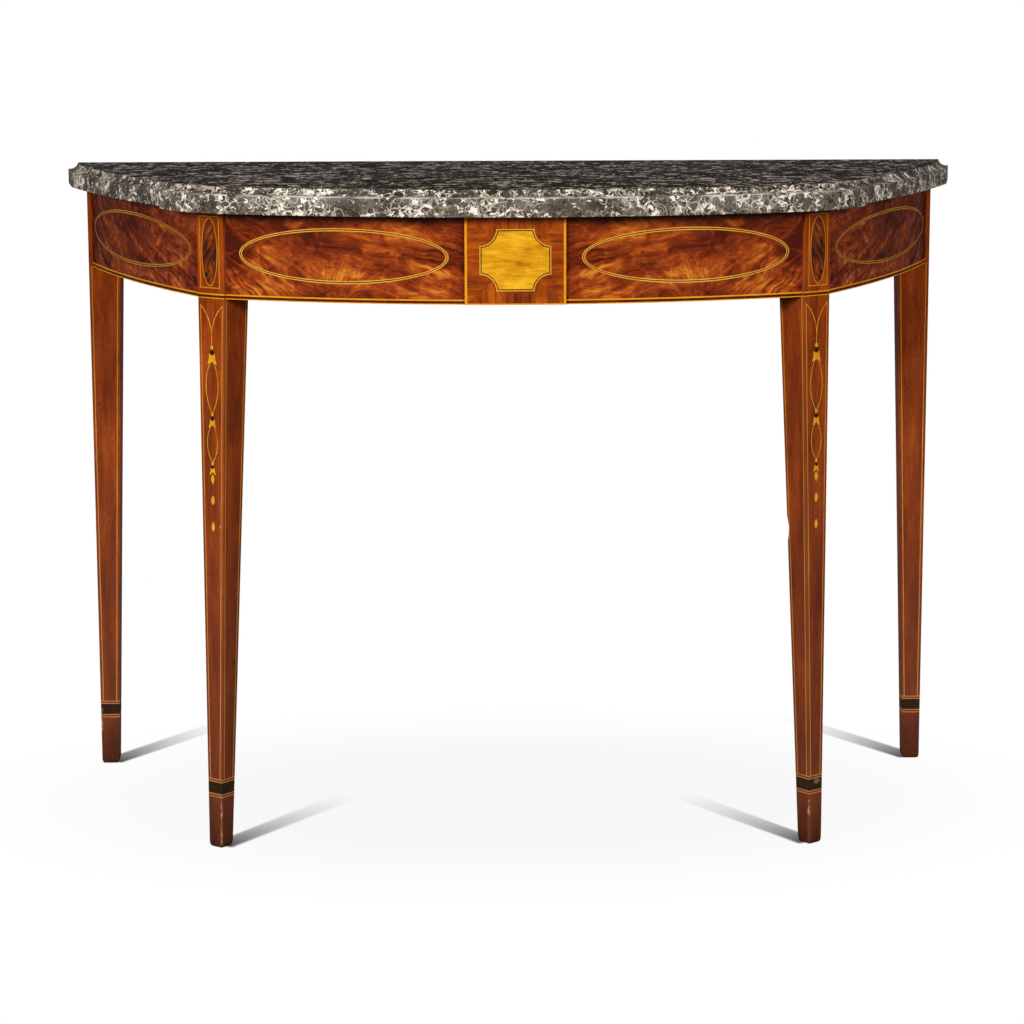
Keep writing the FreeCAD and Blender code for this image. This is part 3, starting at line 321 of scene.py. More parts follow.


# Flame veneer, sawn through a fork of the trunk, so its strands sweep in plumes and catch the light. Each leaf
# is mirrored on the other side of the table. start, run and foot place the leaf in plan and height; sweep is
# how far the strands rise along it; patches, bands and feather are (along, up, half-length, half-height), the
# first two with a lift; the painted shade under the slab is heights up the leaf (from, to) and strength.
flames = {
    "flame mahogany front": {
        "start": (63.7, 0.0), "run": (1.0, 0.0), "foot": 741.0, "length": 306.0, "rise": 150.0,
        "sweep": [(0, 0), (0.33, 0.24), (0.5, 0.3), (0.65, 0.37), (0.78, 0.52), (0.9, 0.76), (1, 1)],
        "patches": [(245, 48, 44, 30, 0.34), (240, 10, 64, 24, 0.3), (152, 30, 56, 30, 0.34),
                    (85, 80, 75, 22, 0.3), (45, 20, 70, 34, 0.28), (100, 50, 45, 34, 0.12),
                    (180, 74, 70, 34, -0.3), (0, 60, 22, 80, -0.25), (300, 74, 46, 62, -0.42)],
        "bands": [(258, 8, 88, 56, 2.1), (48, 36, 80, 70, 1.8)],
        "feather": (152, 28, 62, 36), "fan": 24.0, "base": 0.42, "grimeAndShade": (86.0, 106.0, 0.9),
        "stops": [(0.0, "#481507"), (0.25, "#6A250A"), (0.5, "#8E3812"), (0.74, "#AB5018"), (1.0, "#CE7B2A")],
        "roughness": 0.42, "polish": 0.08, "polishRoughness": 0.2, "swatch": "#8E4015", "shift": 0.0},
    "flame mahogany side": {
        "start": (597.0, 265.5), "run": (-0.404, -0.915), "foot": 741.0, "length": 474.0, "rise": 190.0,
        "sweep": [(0, 1), (0.2, 0.62), (0.4, 0.4), (0.6, 0.3), (0.8, 0.12), (1, 0)],
        "patches": [(120, 50, 110, 40, 0.2), (330, 60, 120, 40, 0.15), (420, 30, 60, 60, 0.15),
                    (230, 80, 90, 40, -0.2), (20, 50, 40, 80, -0.2), (250, 8, 150, 14, 0.3),
                    (440, 42, 40, 20, 0.2)],
        "bands": [(400, 10, 130, 60, 1.4), (60, 30, 90, 60, 1.2)],
        "feather": (240, 24, 90, 34), "fan": 20.0, "base": 0.43, "grimeAndShade": (84.0, 108.0, 0.3),
        "stops": [(0.0, "#2C0C05"), (0.3, "#591F0E"), (0.55, "#7E3217"), (0.8, "#A64E22"), (1.0, "#CC7836")],
        "roughness": 0.42, "polish": 0.03, "polishRoughness": 0.22, "swatch": "#743A1E", "shift": 21.0},
    "flame mahogany stile": {
        "start": (408.0, -170.0), "run": (-0.792, -0.61), "foot": 741.0, "length": 46.0, "rise": 80.0,
        "sweep": [(0, 0), (0.5, 0.4), (1, 1)],
        "patches": [(20, 70, 14, 40, 0.2), (24, 25, 12, 26, 0.15), (14, 50, 12, 20, -0.2)],
        "bands": [(20, 40, 20, 50, 1.4)],
        "feather": (22, 20, 20, 20), "fan": 0.0, "base": 0.33, "grimeAndShade": (92.0, 110.0, 0.6),
        "stops": [(0.0, "#2E0E04"), (0.3, "#54200A"), (0.6, "#823810"), (1.0, "#B85C16")],
        "roughness": 0.42, "polish": 0.12, "polishRoughness": 0.22, "swatch": "#54200A", "shift": 37.0},
}
# noises of the figure: mm across, along and through the strands, detail, twist, shift, and how much it counts
strands = {
    "wander": ((64.0, 44.0, 40.0), 1.6, 0.0, 0.0, 0.0),
    "plume": ((16.0, 74.0, 9.0), 2.5, 0.0, 1.0, 1.15),
    "ribbon": ((6.0, 62.0, 9.0), 3.0, 0.0, 2.0, 0.4),
    "fibre": ((1.3, 17.0, 9.0), 2.5, 0.0, 3.0, 0.5),
    "mottle": ((24.0, 17.0, 9.0), 3.5, 1.4, 4.0, 1.2),
    "fan": ((2.2, 22.0, 9.0), 2.0, 0.4, 5.0, 1.5),
    "pore": ((0.8, 7.0, 9.0), 1.0, 0.0, 6.0, -0.3),
}
figure = {  # millimetres for the reach, drop and spread of the fan
    "wanderReach": (36.0, 34.0, 0.0), "fanDrop": 55.0, "fanSpread": 70.0, "poreEdge": (0.58, 0.7),
    # the colour of the painted shade under the slab
    "grimeAndShade": "#1C0903", "spread": (0.12, 0.12), "relief": (0.1, 0.2),
}


def flameVeneer(name):
    leaf = flames[name]
    material, tree, shader, inMm = startFinish(name, leaf)

    def noiseOf(kind, where):
        size, detail, twist, further, counts = strands[kind]
        return streaks(tree, where, size, detail, leaf["shift"] + further, twist)

    axes = split(tree, inMm)
    plan = joined(tree, reckon(tree, "ABSOLUTE", axes["X"]), axes["Y"])
    fromStart = vectors(tree, "SUBTRACT", plan, (*leaf["start"], 0))
    along = vectors(tree, "DOT_PRODUCT", fromStart, (*leaf["run"], 0)).outputs["Value"]
    height = reckon(tree, "SUBTRACT", axes["Z"], leaf["foot"])
    flat = joined(tree, along, height)

    def onLeaf(place):
        return patch(tree, flat, (*place[:2], 0), (*place[2:], 1))

    # a noise round zero, kept to one patch of the leaf
    def within(noise, place):
        return reckon(tree, "MULTIPLY", reckon(tree, "ADD", noise, -0.5), onLeaf(place))

    # the strands wander a little before they sweep
    drift = wandering(tree, flat, noiseOf("wander", flat), figure["wanderReach"])
    moved = split(tree, drift)
    share = reckon(tree, "MULTIPLY", moved["X"], 1 / leaf["length"], use_clamp=True)
    sweep = addNode(tree, "ShaderNodeFloatCurve", {"Value": share}, points=leaf["sweep"])
    across = reckon(tree, "MULTIPLY_ADD", sweep, -leaf["rise"], moved["Y"])
    strand = joined(tree, across, reckon(tree, "ADD", moved["X"], moved["Y"]))
    ribbon = noiseOf("ribbon", strand)
    noises = {"plume": noiseOf("plume", strand), "ribbon": ribbon, "fibre": noiseOf("fibre", strand),
              "mottle": noiseOf("mottle", drift)}
    parts = [(noise, strands[kind][-1]) for kind, noise in noises.items()]
    start = leaf["base"] - sum(counts for noise, counts in parts) / 2
    # short strokes that fan out from a point under the leaf
    pole = (leaf["feather"][0] + leaf["fan"], leaf["feather"][1] - figure["fanDrop"], 0)
    spoke = vectors(tree, "SUBTRACT", drift, pole)
    radius = vectors(tree, "LENGTH", spoke).outputs["Value"]
    spoke = split(tree, spoke)
    bearing = reckon(tree, "ARCTAN2", spoke["X"], spoke["Y"])
    bearing = reckon(tree, "MULTIPLY", bearing, figure["fanSpread"])
    fan = noiseOf("fan", joined(tree, bearing, radius))
    parts.append((within(fan, leaf["feather"]), strands["fan"][-1]))
    # bold dark and light bands where the fork opens, then the large light and dark places
    parts += [(within(ribbon, place), lift) for *place, lift in leaf["bands"]]
    parts += [(onLeaf(place), lift) for *place, lift in leaf["patches"]]
    parts.append((ranged(tree, noiseOf("pore", strand), *figure["poreEdge"]), strands["pore"][-1]))
    ramp = addNode(tree, "ShaderNodeValToRGB", {0: blendOf(tree, start, parts)}, stops=leaf["stops"])
    # painted shade: the leaf is darkened under the slab, where the slab's shadow falls
    paintedShadeMask = ranged(tree, height, *leaf["grimeAndShade"], soft="SMOOTHSTEP")
    colour = paintOver(tree, paintedShadeMask, ramp.outputs[0], figure["grimeAndShade"])
    endFinish(tree, shader, colour, leaf["roughness"], ribbon, figure["spread"], ribbon, figure["relief"])
    return material


# Fossil marble: grey mudstone full of pale shell; cut across, the shells show as blobs, veins and rings
marbles = {
    # the flat top, polished: dark and wet-looking
    "fossil marble polished": {
        "ground": [(0.2, "#120F0C"), (0.5, "#1C1814"), (0.8, "#2E2924")],
        # arris is the colour of a painted highlight along the brow of the fascia
        "shell": "#B8AE9F", "vein": "#48413A", "ring": "#443E36", "mud": "#0A0807", "arris": "#2B2824",
        # cove and ends are painted shade, multiplied over the stone
        "plain": "#262320", "cove": "#EEEAE6", "ends": "#C0BAB0", "grow": 1.45,
        "roughness": 0.4, "polish": 0.03, "polishRoughness": 0.2, "swatch": "#2B2824"},
    # the worked edge, only honed: greyer and paler
    "fossil marble honed": {
        "ground": [(0.2, "#3C342A"), (0.5, "#584E43"), (0.8, "#786D60")],
        # arris is the colour of a painted highlight along the brow of the fascia
        "shell": "#EAE0CF", "vein": "#BEB2A1", "ring": "#A89D8D", "mud": "#2A2219", "arris": "#BEBDBC",
        # cove and ends are painted shade, multiplied over the stone
        "plain": "#4A453A", "cove": "#BCB7B2", "ends": "#B2AA9C", "grow": 1.12,
        "roughness": 0.55, "polish": 0.1, "polishRoughness": 0.3, "swatch": "#5A5146"},
}
# How the fossils lie, in both finishes. bend to pocket are noises: mm along X, Y and Z, detail, shift and twist.
# Each edge, line and band says where it starts, where it is full, and how strong it is.
fossils = {
    "bend": ((17.0, 17.0, 17.0), 2.0, 2.0), "cloud": ((26.0, 26.0, 20.0), 2.0, 11.0),
    "speck": ((3.0, 3.0, 2.4), 3.0, 5.0), "thick": ((21.0, 21.0, 18.0), 2.0, 17.0),
    "blob": ((6.8, 6.8, 5.8), 3.0, 23.0, 0.9), "grit": ((2.6, 2.6, 2.2), 2.0, 31.0, 0.5),
    "pocket": ((7.5, 7.5, 6.0), 3.0, 41.0, 0.8), "bendReach": (15.0, 15.0, 15.0), "grey": (-0.45, 1.3, 0.6),
    "ringCell": 27.0, "ringTurns": 44.0, "ringLine": (0.5, 0.95), "ringLot": 0.74,
    "veinCell": 9.5, "veinLine": (0.09, 0.045), "veinThick": (0.42, 0.6),
    "heap": (0.8, 0.4), "blobEdge": (0.672, 0.69), "rimEdge": (0.625, 0.665, 0.75), "gritEdge": (0.64, 0.69),
    "pocketEdge": (0.56, 0.62, 0.8),
    # where the painted shade of the cove and the ends starts and is full
    "coveShadeHeights": (870.8, 873.0), "endShadeOut": (380.0, 600.0), "plainOut": (612.0, 620.0, 0.8),
    # where the painted highlight on the arris lies
    "arrisHeight": 870.2, "arrisLine": (1.1, 0.4), "arrisCloud": (0.37, 0.58), "arrisOut": (460.0, 300.0),
    "spread": (0.08, 0.12),
}


def fossilMarble(name):
    stone = marbles[name]
    material, tree, shader, place = startFinish(name, stone)
    inMm = scaled(tree, place, 1 / stone["grow"])
    bent = wandering(tree, inMm, streaks(tree, inMm, *fossils["bend"]), fossils["bendReach"])
    cloud = streaks(tree, inMm, *fossils["cloud"])
    speck = streaks(tree, inMm, *fossils["speck"])
    start, *weights = fossils["grey"]
    grey = blendOf(tree, start, zip((cloud, speck), weights))
    colour = addNode(tree, "ShaderNodeValToRGB", {0: grey}, stops=stone["ground"]).outputs[0]
    # painted shade darkens the cove and the stone towards the ends, where the lamps light them more
    axes = split(tree, place)
    outer = reckon(tree, "ABSOLUTE", axes["X"])
    for value, band, tint in ((axes["Z"], "coveShadeHeights", "cove"), (outer, "endShadeOut", "ends")):
        colour = paintOver(tree, ranged(tree, value, *fossils[band]), colour, stone[tint], blend_type="MULTIPLY")
    # where the shell lies thick, and plain stone between
    thick = streaks(tree, inMm, *fossils["thick"])
    # ring-like sections through single shells
    cell = addNode(tree, "ShaderNodeTexVoronoi", {"Vector": bent, "Scale": 1 / fossils["ringCell"]}, feature="F1")
    rings = reckon(tree, "MULTIPLY", cell.outputs["Distance"], fossils["ringTurns"])
    rings = ranged(tree, reckon(tree, "SINE", rings), *fossils["ringLine"])
    lot = addNode(tree, "ShaderNodeSeparateColor", {0: cell.outputs["Color"]})
    ringMask = reckon(tree, "MULTIPLY", rings, reckon(tree, "GREATER_THAN", lot, fossils["ringLot"]))
    # thin veins between the shells
    net = addNode(tree, "ShaderNodeTexVoronoi", {"Vector": bent, "Scale": 1 / fossils["veinCell"]},
                  feature="DISTANCE_TO_EDGE")
    veinMask = reckon(tree, "MULTIPLY", ranged(tree, net, *fossils["veinLine"]),
                      ranged(tree, thick, *fossils["veinThick"]))
    # solid pale blobs of shell in a rim of mud, grit broken from them, and pockets of mud
    blob = streaks(tree, bent, *fossils["blob"])
    heap = blendOf(tree, 0.0, zip((blob, thick), fossils["heap"]))
    grit = streaks(tree, inMm, *fossils["grit"])
    pocket = streaks(tree, bent, *fossils["pocket"])
    blobMask, rimMask, gritMask, pocketMask = (
        ranged(tree, value, *fossils[edge]) for value, edge in (
            (heap, "blobEdge"), (heap, "rimEdge"), (grit, "gritEdge"), (pocket, "pocketEdge")))
    for mask, paint in ((pocketMask, "mud"), (ringMask, "ring"), (gritMask, "ring"), (rimMask, "mud"),
                        (veinMask, "vein"), (blobMask, "shell")):
        colour = paintOver(tree, mask, colour, stone[paint])
    # painted highlight: the arris over the fascia is painted pale, where light glints on it
    above = reckon(tree, "ABSOLUTE", reckon(tree, "SUBTRACT", axes["Z"], fossils["arrisHeight"]))
    arrisHighlight = ranged(tree, above, *fossils["arrisLine"])
    for value, band in ((cloud, "arrisCloud"), (outer, "arrisOut")):
        arrisHighlight = reckon(tree, "MULTIPLY", arrisHighlight, ranged(tree, value, *fossils[band]))
    colour = paintOver(tree, arrisHighlight, colour, stone["arris"])
    # the cut ends are plain
    colour = paintOver(tree, ranged(tree, outer, *fossils["plainOut"]), colour, stone["plain"])
    endFinish(tree, shader, colour, stone["roughness"], speck, fossils["spread"])
    return material


finishes = {name: straightGrain(name) for name in woods}
finishes.update({name: flameVeneer(name) for name in flames})
finishes.update({name: fossilMarble(name) for name in marbles})
print("finishes made:", len(finishes))

# which finish each carried-over piece takes: the first start of a name that fits holds
dressing = [
    ("marble_top", "fossil marble honed"),
    ("leg_strings", "boxwood worn"), ("leg_husks", "boxwood sanded"), ("leg_calyxes", "ebonised pearwood"),
    ("leg_", "mahogany"),
    ("veneer_front", "flame mahogany front"), ("oval_panel_front", "flame mahogany front"),
    ("veneer_side", "flame mahogany side"), ("oval_panel_side", "flame mahogany side"),
    ("stile_oval", "flame mahogany stile"), ("stile_string", "boxwood toned"),
    ("oval_string_front", "boxwood faded"), ("oval_string_side", "boxwood dull"),
    ("oval_line", "stained pearwood"), ("banding_dark", "stained pearwood faded"),
    ("cuff_band", "ebonised pearwood"), ("cuff_strings", "boxwood worn"),
    ("tablet_crossband_upright", "crossbanded mahogany upright"),
    ("tablet_crossband_level", "crossbanded mahogany level"), ("tablet_dark", "stained pearwood"),
    ("tablet_panel", "satinwood"), ("tablet_light_string", "boxwood faded"), ("tablet_block", "pine"),
    ("front_rail", "pine"), ("side_rail", "pine"), ("back_rail", "pine"), ("cross_brace", "pine"),
    ("glue_blocks", "pine"), ("", "boxwood"),
]
for label, node in nodes.items():
    finish = next(name for start, name in dressing if label.startswith(start))
    node.data.materials.clear()
    node.data.materials.append(finishes[finish])
print("carried-over pieces dressed")

# Marble slab: its moulded edge is swept round the path by Geometry Nodes, then the flats are closed
slab = {  # millimetres, and degrees for the angle
    "halfWidth": 635.0, "back": 315.5, "foot": 846.5, "thickness": 33.0,
    "bowCentre": (0.0, 594.5), "bowRadius": 910.0, "sideCentre": (1320.454, 852.841), "sideRadius": 2038.393,
    "cornerRadius": 150.0, "endLength": 90.0, "sideSteps": 26, "cornerSteps": 22, "bowSteps": 44,
    "coveHeight": 9.0, "coveWidth": 11.0, "coveHollow": 2.2, "coveSteps": 9, "ledge": 3.5,
    "relief": 3.5, "reliefWidth": 24.0, "reliefFrom": 457.88, "reliefGap": 0.03,
    "backSnap": 8.0, "weld": 0.01, "softArris": 0.9, "arrisSteps": 2, "sharpAngle": 32.0,
}


# the edge in plan from the left back corner round the front to the right one
def slabPath():
    bow, side = Vector(slab["bowCentre"]), Vector(slab["sideCentre"])
    radius = slab["cornerRadius"]
    bowIn, sideIn = slab["bowRadius"] - radius, slab["sideRadius"] - radius
    gap = (side - bow).length
    reach = (bowIn ** 2 - sideIn ** 2 + gap ** 2) / (2 * gap)
    off = math.sqrt(bowIn ** 2 - reach ** 2)
    axis = (side - bow) / gap
    eye = min((bow + axis * reach + Vector((-axis.y, axis.x)) * hand * off for hand in (1, -1)),
              key=lambda point: point.y)
    endY = slab["back"] - slab["endLength"]
    end = Vector((side.x - math.sqrt(slab["sideRadius"] ** 2 - (endY - side.y) ** 2), endY))
    sideTouch = side + (eye - side).normalized() * slab["sideRadius"]
    bowTouch = bow + (eye - bow).normalized() * slab["bowRadius"]
    front = Vector((0, bow.y - slab["bowRadius"]))
    left = [Vector((-slab["halfWidth"], slab["back"]))]
    for centre, first, last, steps in ((side, end, sideTouch, slab["sideSteps"]),
                                       (eye, sideTouch, bowTouch, slab["cornerSteps"]),
                                       (bow, bowTouch, front, slab["bowSteps"])):
        a, b = (math.atan2(p.y - centre.y, p.x - centre.x) % math.tau for p in (first, last))
        size = (first - centre).length
        turns = [a + (b - a) * step / steps for step in range(steps)]
        left += [centre + Vector((math.cos(t), math.sin(t))) * size for t in turns]
    # two points close together where the step under the end stops
    for at in range(len(left) - 1):
        if left[at].x < -slab["reliefFrom"] <= left[at + 1].x:
            run = left[at + 1] - left[at]
            share = (-slab["reliefFrom"] - left[at].x) / run.x
            nick = run.normalized() * slab["reliefGap"]
            middle = left[at] + run * share
            left[at + 1:at + 1] = [middle - nick, middle + nick]
            break
    return left + [front] + [Vector((-p.x, p.y)) for p in reversed(left)]


def mouldedEdge():
    tree = bpy.data.node_groups.new("moulded edge", "GeometryNodeTree")

    def socket(name, kind, way="INPUT"):
        return tree.interface.new_socket(name=name, in_out=way, socket_type="NodeSocket" + kind)

    socket("Path", "Geometry")
    hyp = math.hypot(slab["coveWidth"], slab["coveHeight"])
    given = {name: slab[name] * mm for name in (
        "thickness", "coveHeight", "coveWidth", "ledge", "relief", "reliefWidth", "reliefFrom")}
    given["hollowIn"] = (slab["coveWidth"] / 2 + slab["coveHeight"] / hyp * slab["coveHollow"]) * mm
    given["hollowDown"] = (slab["coveHeight"] / 2 + slab["coveWidth"] / hyp * slab["coveHollow"]) * mm
    values = {socket(name, "Float").identifier: value for name, value in given.items()}
    values[socket("stone", "Material").identifier] = finishes["fossil marble honed"]
    socket("Edge", "Geometry", "OUTPUT")
    size = addNode(tree, "NodeGroupInput").outputs

    # a point of the section: how far in from the edge, and how high
    def section(inward, height):
        return joined(tree, *(blendOf(tree, 0.0, [(size[name], -share) for name, share in run.items()])
                              for run in (inward, height)))

    browHeight = {"thickness": 1, "coveHeight": -1}
    sole, toe, brow = section({"reliefWidth": 1}, {}), section({}, {}), section({}, browHeight)
    shelf = section({"ledge": 1}, browHeight)
    hollow = section({"ledge": 1, "hollowIn": 1}, {"thickness": 1, "hollowDown": -1})
    crown = section({"ledge": 1, "coveWidth": 1}, {"thickness": 1})
    index = addNode(tree, "GeometryNodeInputIndex")
    fall = reckon(tree, "SUBTRACT", 1.0, index)
    profile = addNode(tree, "GeometryNodeJoinGeometry")
    for first, last, lift in ((sole, sole, index), (sole, toe, 1.0), (toe, brow, fall), (brow, shelf, 0.0)):
        line = addNode(tree, "GeometryNodeCurvePrimitiveLine", {"Start": first, "End": last})
        line = addNode(tree, "GeometryNodeStoreNamedAttribute", {"Geometry": line, "Name": "lift", "Value": lift},
                       data_type="FLOAT", domain="POINT")
        tree.links.new(line.outputs[0], profile.inputs[0])
    cove = addNode(tree, "GeometryNodeCurveArc", {
        "Resolution": slab["coveSteps"], "Start": shelf, "Middle": hollow, "End": crown}, mode="POINTS")
    tree.links.new(cove.outputs[0], profile.inputs[0])
    path = addNode(tree, "GeometryNodeMeshToCurve", {0: size["Path"]})
    path = addNode(tree, "GeometryNodeSetCurveNormal", {0: path}, mode="Z_UP")
    swept = addNode(tree, "GeometryNodeCurveToMesh", {"Curve": path, "Profile Curve": profile})
    # the shallow step under both ends
    where = split(tree, addNode(tree, "GeometryNodeInputPosition"))
    outer = reckon(tree, "GREATER_THAN", reckon(tree, "ABSOLUTE", where["X"]), size["reliefFrom"])
    lift = addNode(tree, "GeometryNodeInputNamedAttribute", {"Name": "lift"}, data_type="FLOAT")
    raised = reckon(tree, "MULTIPLY", reckon(tree, "MULTIPLY", outer, lift), size["relief"])
    offset = joined(tree, 0.0, 0.0, raised)
    stepped = addNode(tree, "GeometryNodeSetPosition", {"Geometry": swept, "Offset": offset})
    merged = addNode(tree, "GeometryNodeMergeByDistance", {"Geometry": stepped, "Distance": slab["weld"] * mm})
    real = addNode(tree, "GeometryNodeRealizeInstances", {0: merged})
    stone = addNode(tree, "GeometryNodeSetMaterial", {"Geometry": real, "Material": size["stone"]})
    addNode(tree, "NodeGroupOutput", {0: stone})
    return tree, values


def plainMesh(piece, name):
    evaluated = piece.evaluated_get(bpy.context.evaluated_depsgraph_get())
    mesh = bpy.data.meshes.new_from_object(evaluated)
    mesh.name = name
    return mesh


def putIn(name, data):
    piece = bpy.data.objects.new(name, data)
    bpy.context.scene.collection.objects.link(piece)
    return piece


def marbleSlab():
    path = [Vector((p.x, p.y, slab["foot"])) * mm for p in slabPath()]
    line = bpy.data.meshes.new("slab path")
    line.from_pydata(path, [(at, at + 1) for at in range(len(path) - 1)], [])
    piece = putIn("slab", line)
    sweep = piece.modifiers.new("moulded edge", "NODES")
    sweep.node_group, values = mouldedEdge()
    for identifier, value in values.items():
        sweep[identifier] = value
    mesh = plainMesh(piece, "slab")
    piece.modifiers.remove(sweep)
    # close the top, the underside and the straight back
    work = bmesh.new()
    work.from_mesh(mesh)
    backY, footZ = slab["back"] * mm, slab["foot"] * mm
    topZ = footZ + slab["thickness"] * mm
    for vertex in work.verts:
        if vertex.co.y > backY - slab["backSnap"] * mm:
            vertex.co.y = backY
    rim = [v for v in work.verts if v.is_boundary]
    for level, order in ((topZ, 1), (footZ, -1)):
        loop = sorted((v for v in rim if abs(v.co.z - level) < slab["weld"] * mm), key=lambda v: v.co.x * order)
        work.faces.new(loop).material_index = 1
    bmesh.ops.holes_fill(work, edges=[e for e in work.edges if e.is_boundary], sides=0)
    bmesh.ops.recalc_face_normals(work, faces=work.faces)
    work.to_mesh(mesh)
    work.free()
    piece.data = mesh
    mesh.materials.append(finishes["fossil marble polished"])
    soft = piece.modifiers.new("soft arris", "BEVEL")
    soft.width = slab["softArris"] * mm
    soft.segments = slab["arrisSteps"]
    soft.limit_method = "ANGLE"
    soft.angle_limit = math.radians(slab["sharpAngle"])
    mesh = plainMesh(piece, "marbleSlab")
    piece.modifiers.remove(soft)
    mesh.shade_smooth()
    mesh.set_sharp_from_angle(angle=math.radians(slab["sharpAngle"]))
    piece.data = mesh
    piece.name = "marbleSlab"
    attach(piece, "marble_top")
    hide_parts("marble_top")
    print("slab:", len(mesh.polygons), "faces")


marbleSlab()

# Legs worn by use: feet rounded off, and one knock in the right front leg's inner edge
wear = {  # millimetres, degrees for the angle, and shares of the foot's height for its cuts
    "footHeight": 9.0, "footDepth": 3.6, "footCuts": (0.12, 0.25, 0.42, 0.65, 1.0),
    "weld": 0.002, "cut": 0.001, "sole": 0.05, "sharpAngle": 30.0,
    "knock": {"leg": "leg_front_right", "top": 444.0, "deepest": 428.0, "foot": 410.0, "depth": 2.1, "reach": 3.1,
              "cuts": 12, "curve": {"top": 1.0, "foot": 0.5},
              "edge": ((344.1, -161.4, 734.0), (373.4, -165.2, 95.1))},
}


def wornLegs():
    for label in ("leg_front_left", "leg_front_right", "leg_rear_left", "leg_rear_right"):
        node = nodes[label]
        mesh = node.data.copy()
        mesh.name = label.replace("leg", "worn")
        work = bmesh.new()
        work.from_mesh(mesh)
        bmesh.ops.remove_doubles(work, verts=work.verts, dist=wear["weld"] * mm)
        knock = wear["knock"] if wear["knock"]["leg"] == label else None
        levels = [wear["footHeight"] * share for share in wear["footCuts"]]
        if knock:
            cuts = knock["cuts"]
            levels += [knock["foot"] + (knock["top"] - knock["foot"]) * step / cuts for step in range(cuts + 1)]
        for level in levels:
            bmesh.ops.bisect_plane(work, geom=work.verts[:] + work.edges[:] + work.faces[:],
                                   plane_co=(0, 0, level * mm), plane_no=(0, 0, 1), dist=wear["cut"] * mm)
        soles = [v.co for v in work.verts if v.co.z < wear["sole"] * mm]
        middle = Vector((sum(c.x for c in soles) / len(soles), sum(c.y for c in soles) / len(soles)))
        half = max((c.xy - middle).length for c in soles)
        for vertex in work.verts:
            height = vertex.co.z / mm
            if height < wear["footHeight"]:
                turn = 1 - height / wear["footHeight"]
                pull = wear["footDepth"] * mm / half * (1 - math.sqrt(1 - turn * turn))
                vertex.co.xy = middle + (vertex.co.xy - middle) * (1 - pull)
            if knock and knock["foot"] < height < knock["top"]:
                top, toe = (Vector(p) * mm for p in knock["edge"])
                at = toe + (top - toe) * ((vertex.co.z - toe.z) / (top.z - toe.z))
                near = 1 - (vertex.co - at).length / (knock["reach"] * mm)
                if near > 0:
                    side = "top" if height > knock["deepest"] else "foot"
                    share = (height - knock[side]) / (knock["deepest"] - knock[side])
                    inward = Vector((middle.x - at.x, middle.y - at.y, 0)).normalized()
                    vertex.co += inward * knock["depth"] * mm * near * share ** knock["curve"][side]
        bmesh.ops.recalc_face_normals(work, faces=work.faces)
        work.to_mesh(mesh)
        work.free()
        # the carried-over normals no longer fit
        for stale in ("custom_normal", "sharp_edge", "sharp_face"):
            if stale in mesh.attributes:
                mesh.attributes.remove(mesh.attributes[stale])
        mesh.set_sharp_from_angle(angle=math.radians(wear["sharpAngle"]))
        for face in mesh.polygons:
            face.use_smooth = face.center.z < wear["footHeight"] * mm
        piece = putIn(mesh.name, mesh)
        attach(piece, "frame")
        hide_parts(label)
    print("legs worn")


wornLegs()

# Studio: pale floor that runs out to white, two soft lamps in front, one overhead and one behind
studio = {  # metres, and watts for the lamps
    "floorSize": 14.0, "floorColour": "#F2F2F1", "floorBounce": "#777777", "floorGain": 1.2, "floorRoughness": 0.9,
    # painted shade: a faint grey under the table, with its strength, place, reach and edge
    "paintedShadeUnderTable": 0.93, "underPlace": (0.0, 0.08, 0.0), "underReach": (0.85, 0.55, 1.0), "underEdge": 0.6,
    "shadowRun": (-0.547, 0.837), "shadowReach": 0.3, "shadowStart": (-0.004, 0.006),
    # painted shadow: how much darker the strips beside the feet are painted
    "shadowSide": (0.023, 0.0138), "paintedShadowDeep": 0.88, "ambient": 0.1,
    "lamps": {  # place, aim, size, power
        "lampLeft": ((-2.1, -2.78, 1.55), (-0.1, 0.0, 0.62), 0.65, 90.0),
        "lampRight": ((2.1, -2.78, 1.55), (0.1, 0.0, 0.62), 0.65, 60.0),
        "lampOverhead": ((0.0, -0.6, 3.2), (0.0, 0.0, 0.0), 2.6, 19.0),
        "lampBehind": ((0.0, 3.2, 1.5), (0.0, 0.3, 0.5), 1.8, 50.0),
    },
}


# where each foot on the right stands, on the floor
def feet():
    spots = []
    for label in ("leg_front_right", "leg_rear_right"):
        low = [nodes[label].matrix_world @ v.co for v in nodes[label].data.vertices]
        low = [p for p in low if p.z < 1 * mm]
        spots.append((sum(p.x for p in low) / len(low), sum(p.y for p in low) / len(low)))
    return spots


# 1 for what the camera sees, also in a reflection or through something clear; 0 for light that bounces
def seenByCamera(tree):
    path = addNode(tree, "ShaderNodeLightPath").outputs
    seen = reckon(tree, "MAXIMUM", path["Is Camera Ray"], path["Is Glossy Ray"])
    return reckon(tree, "MAXIMUM", seen, path["Is Transmission Ray"])


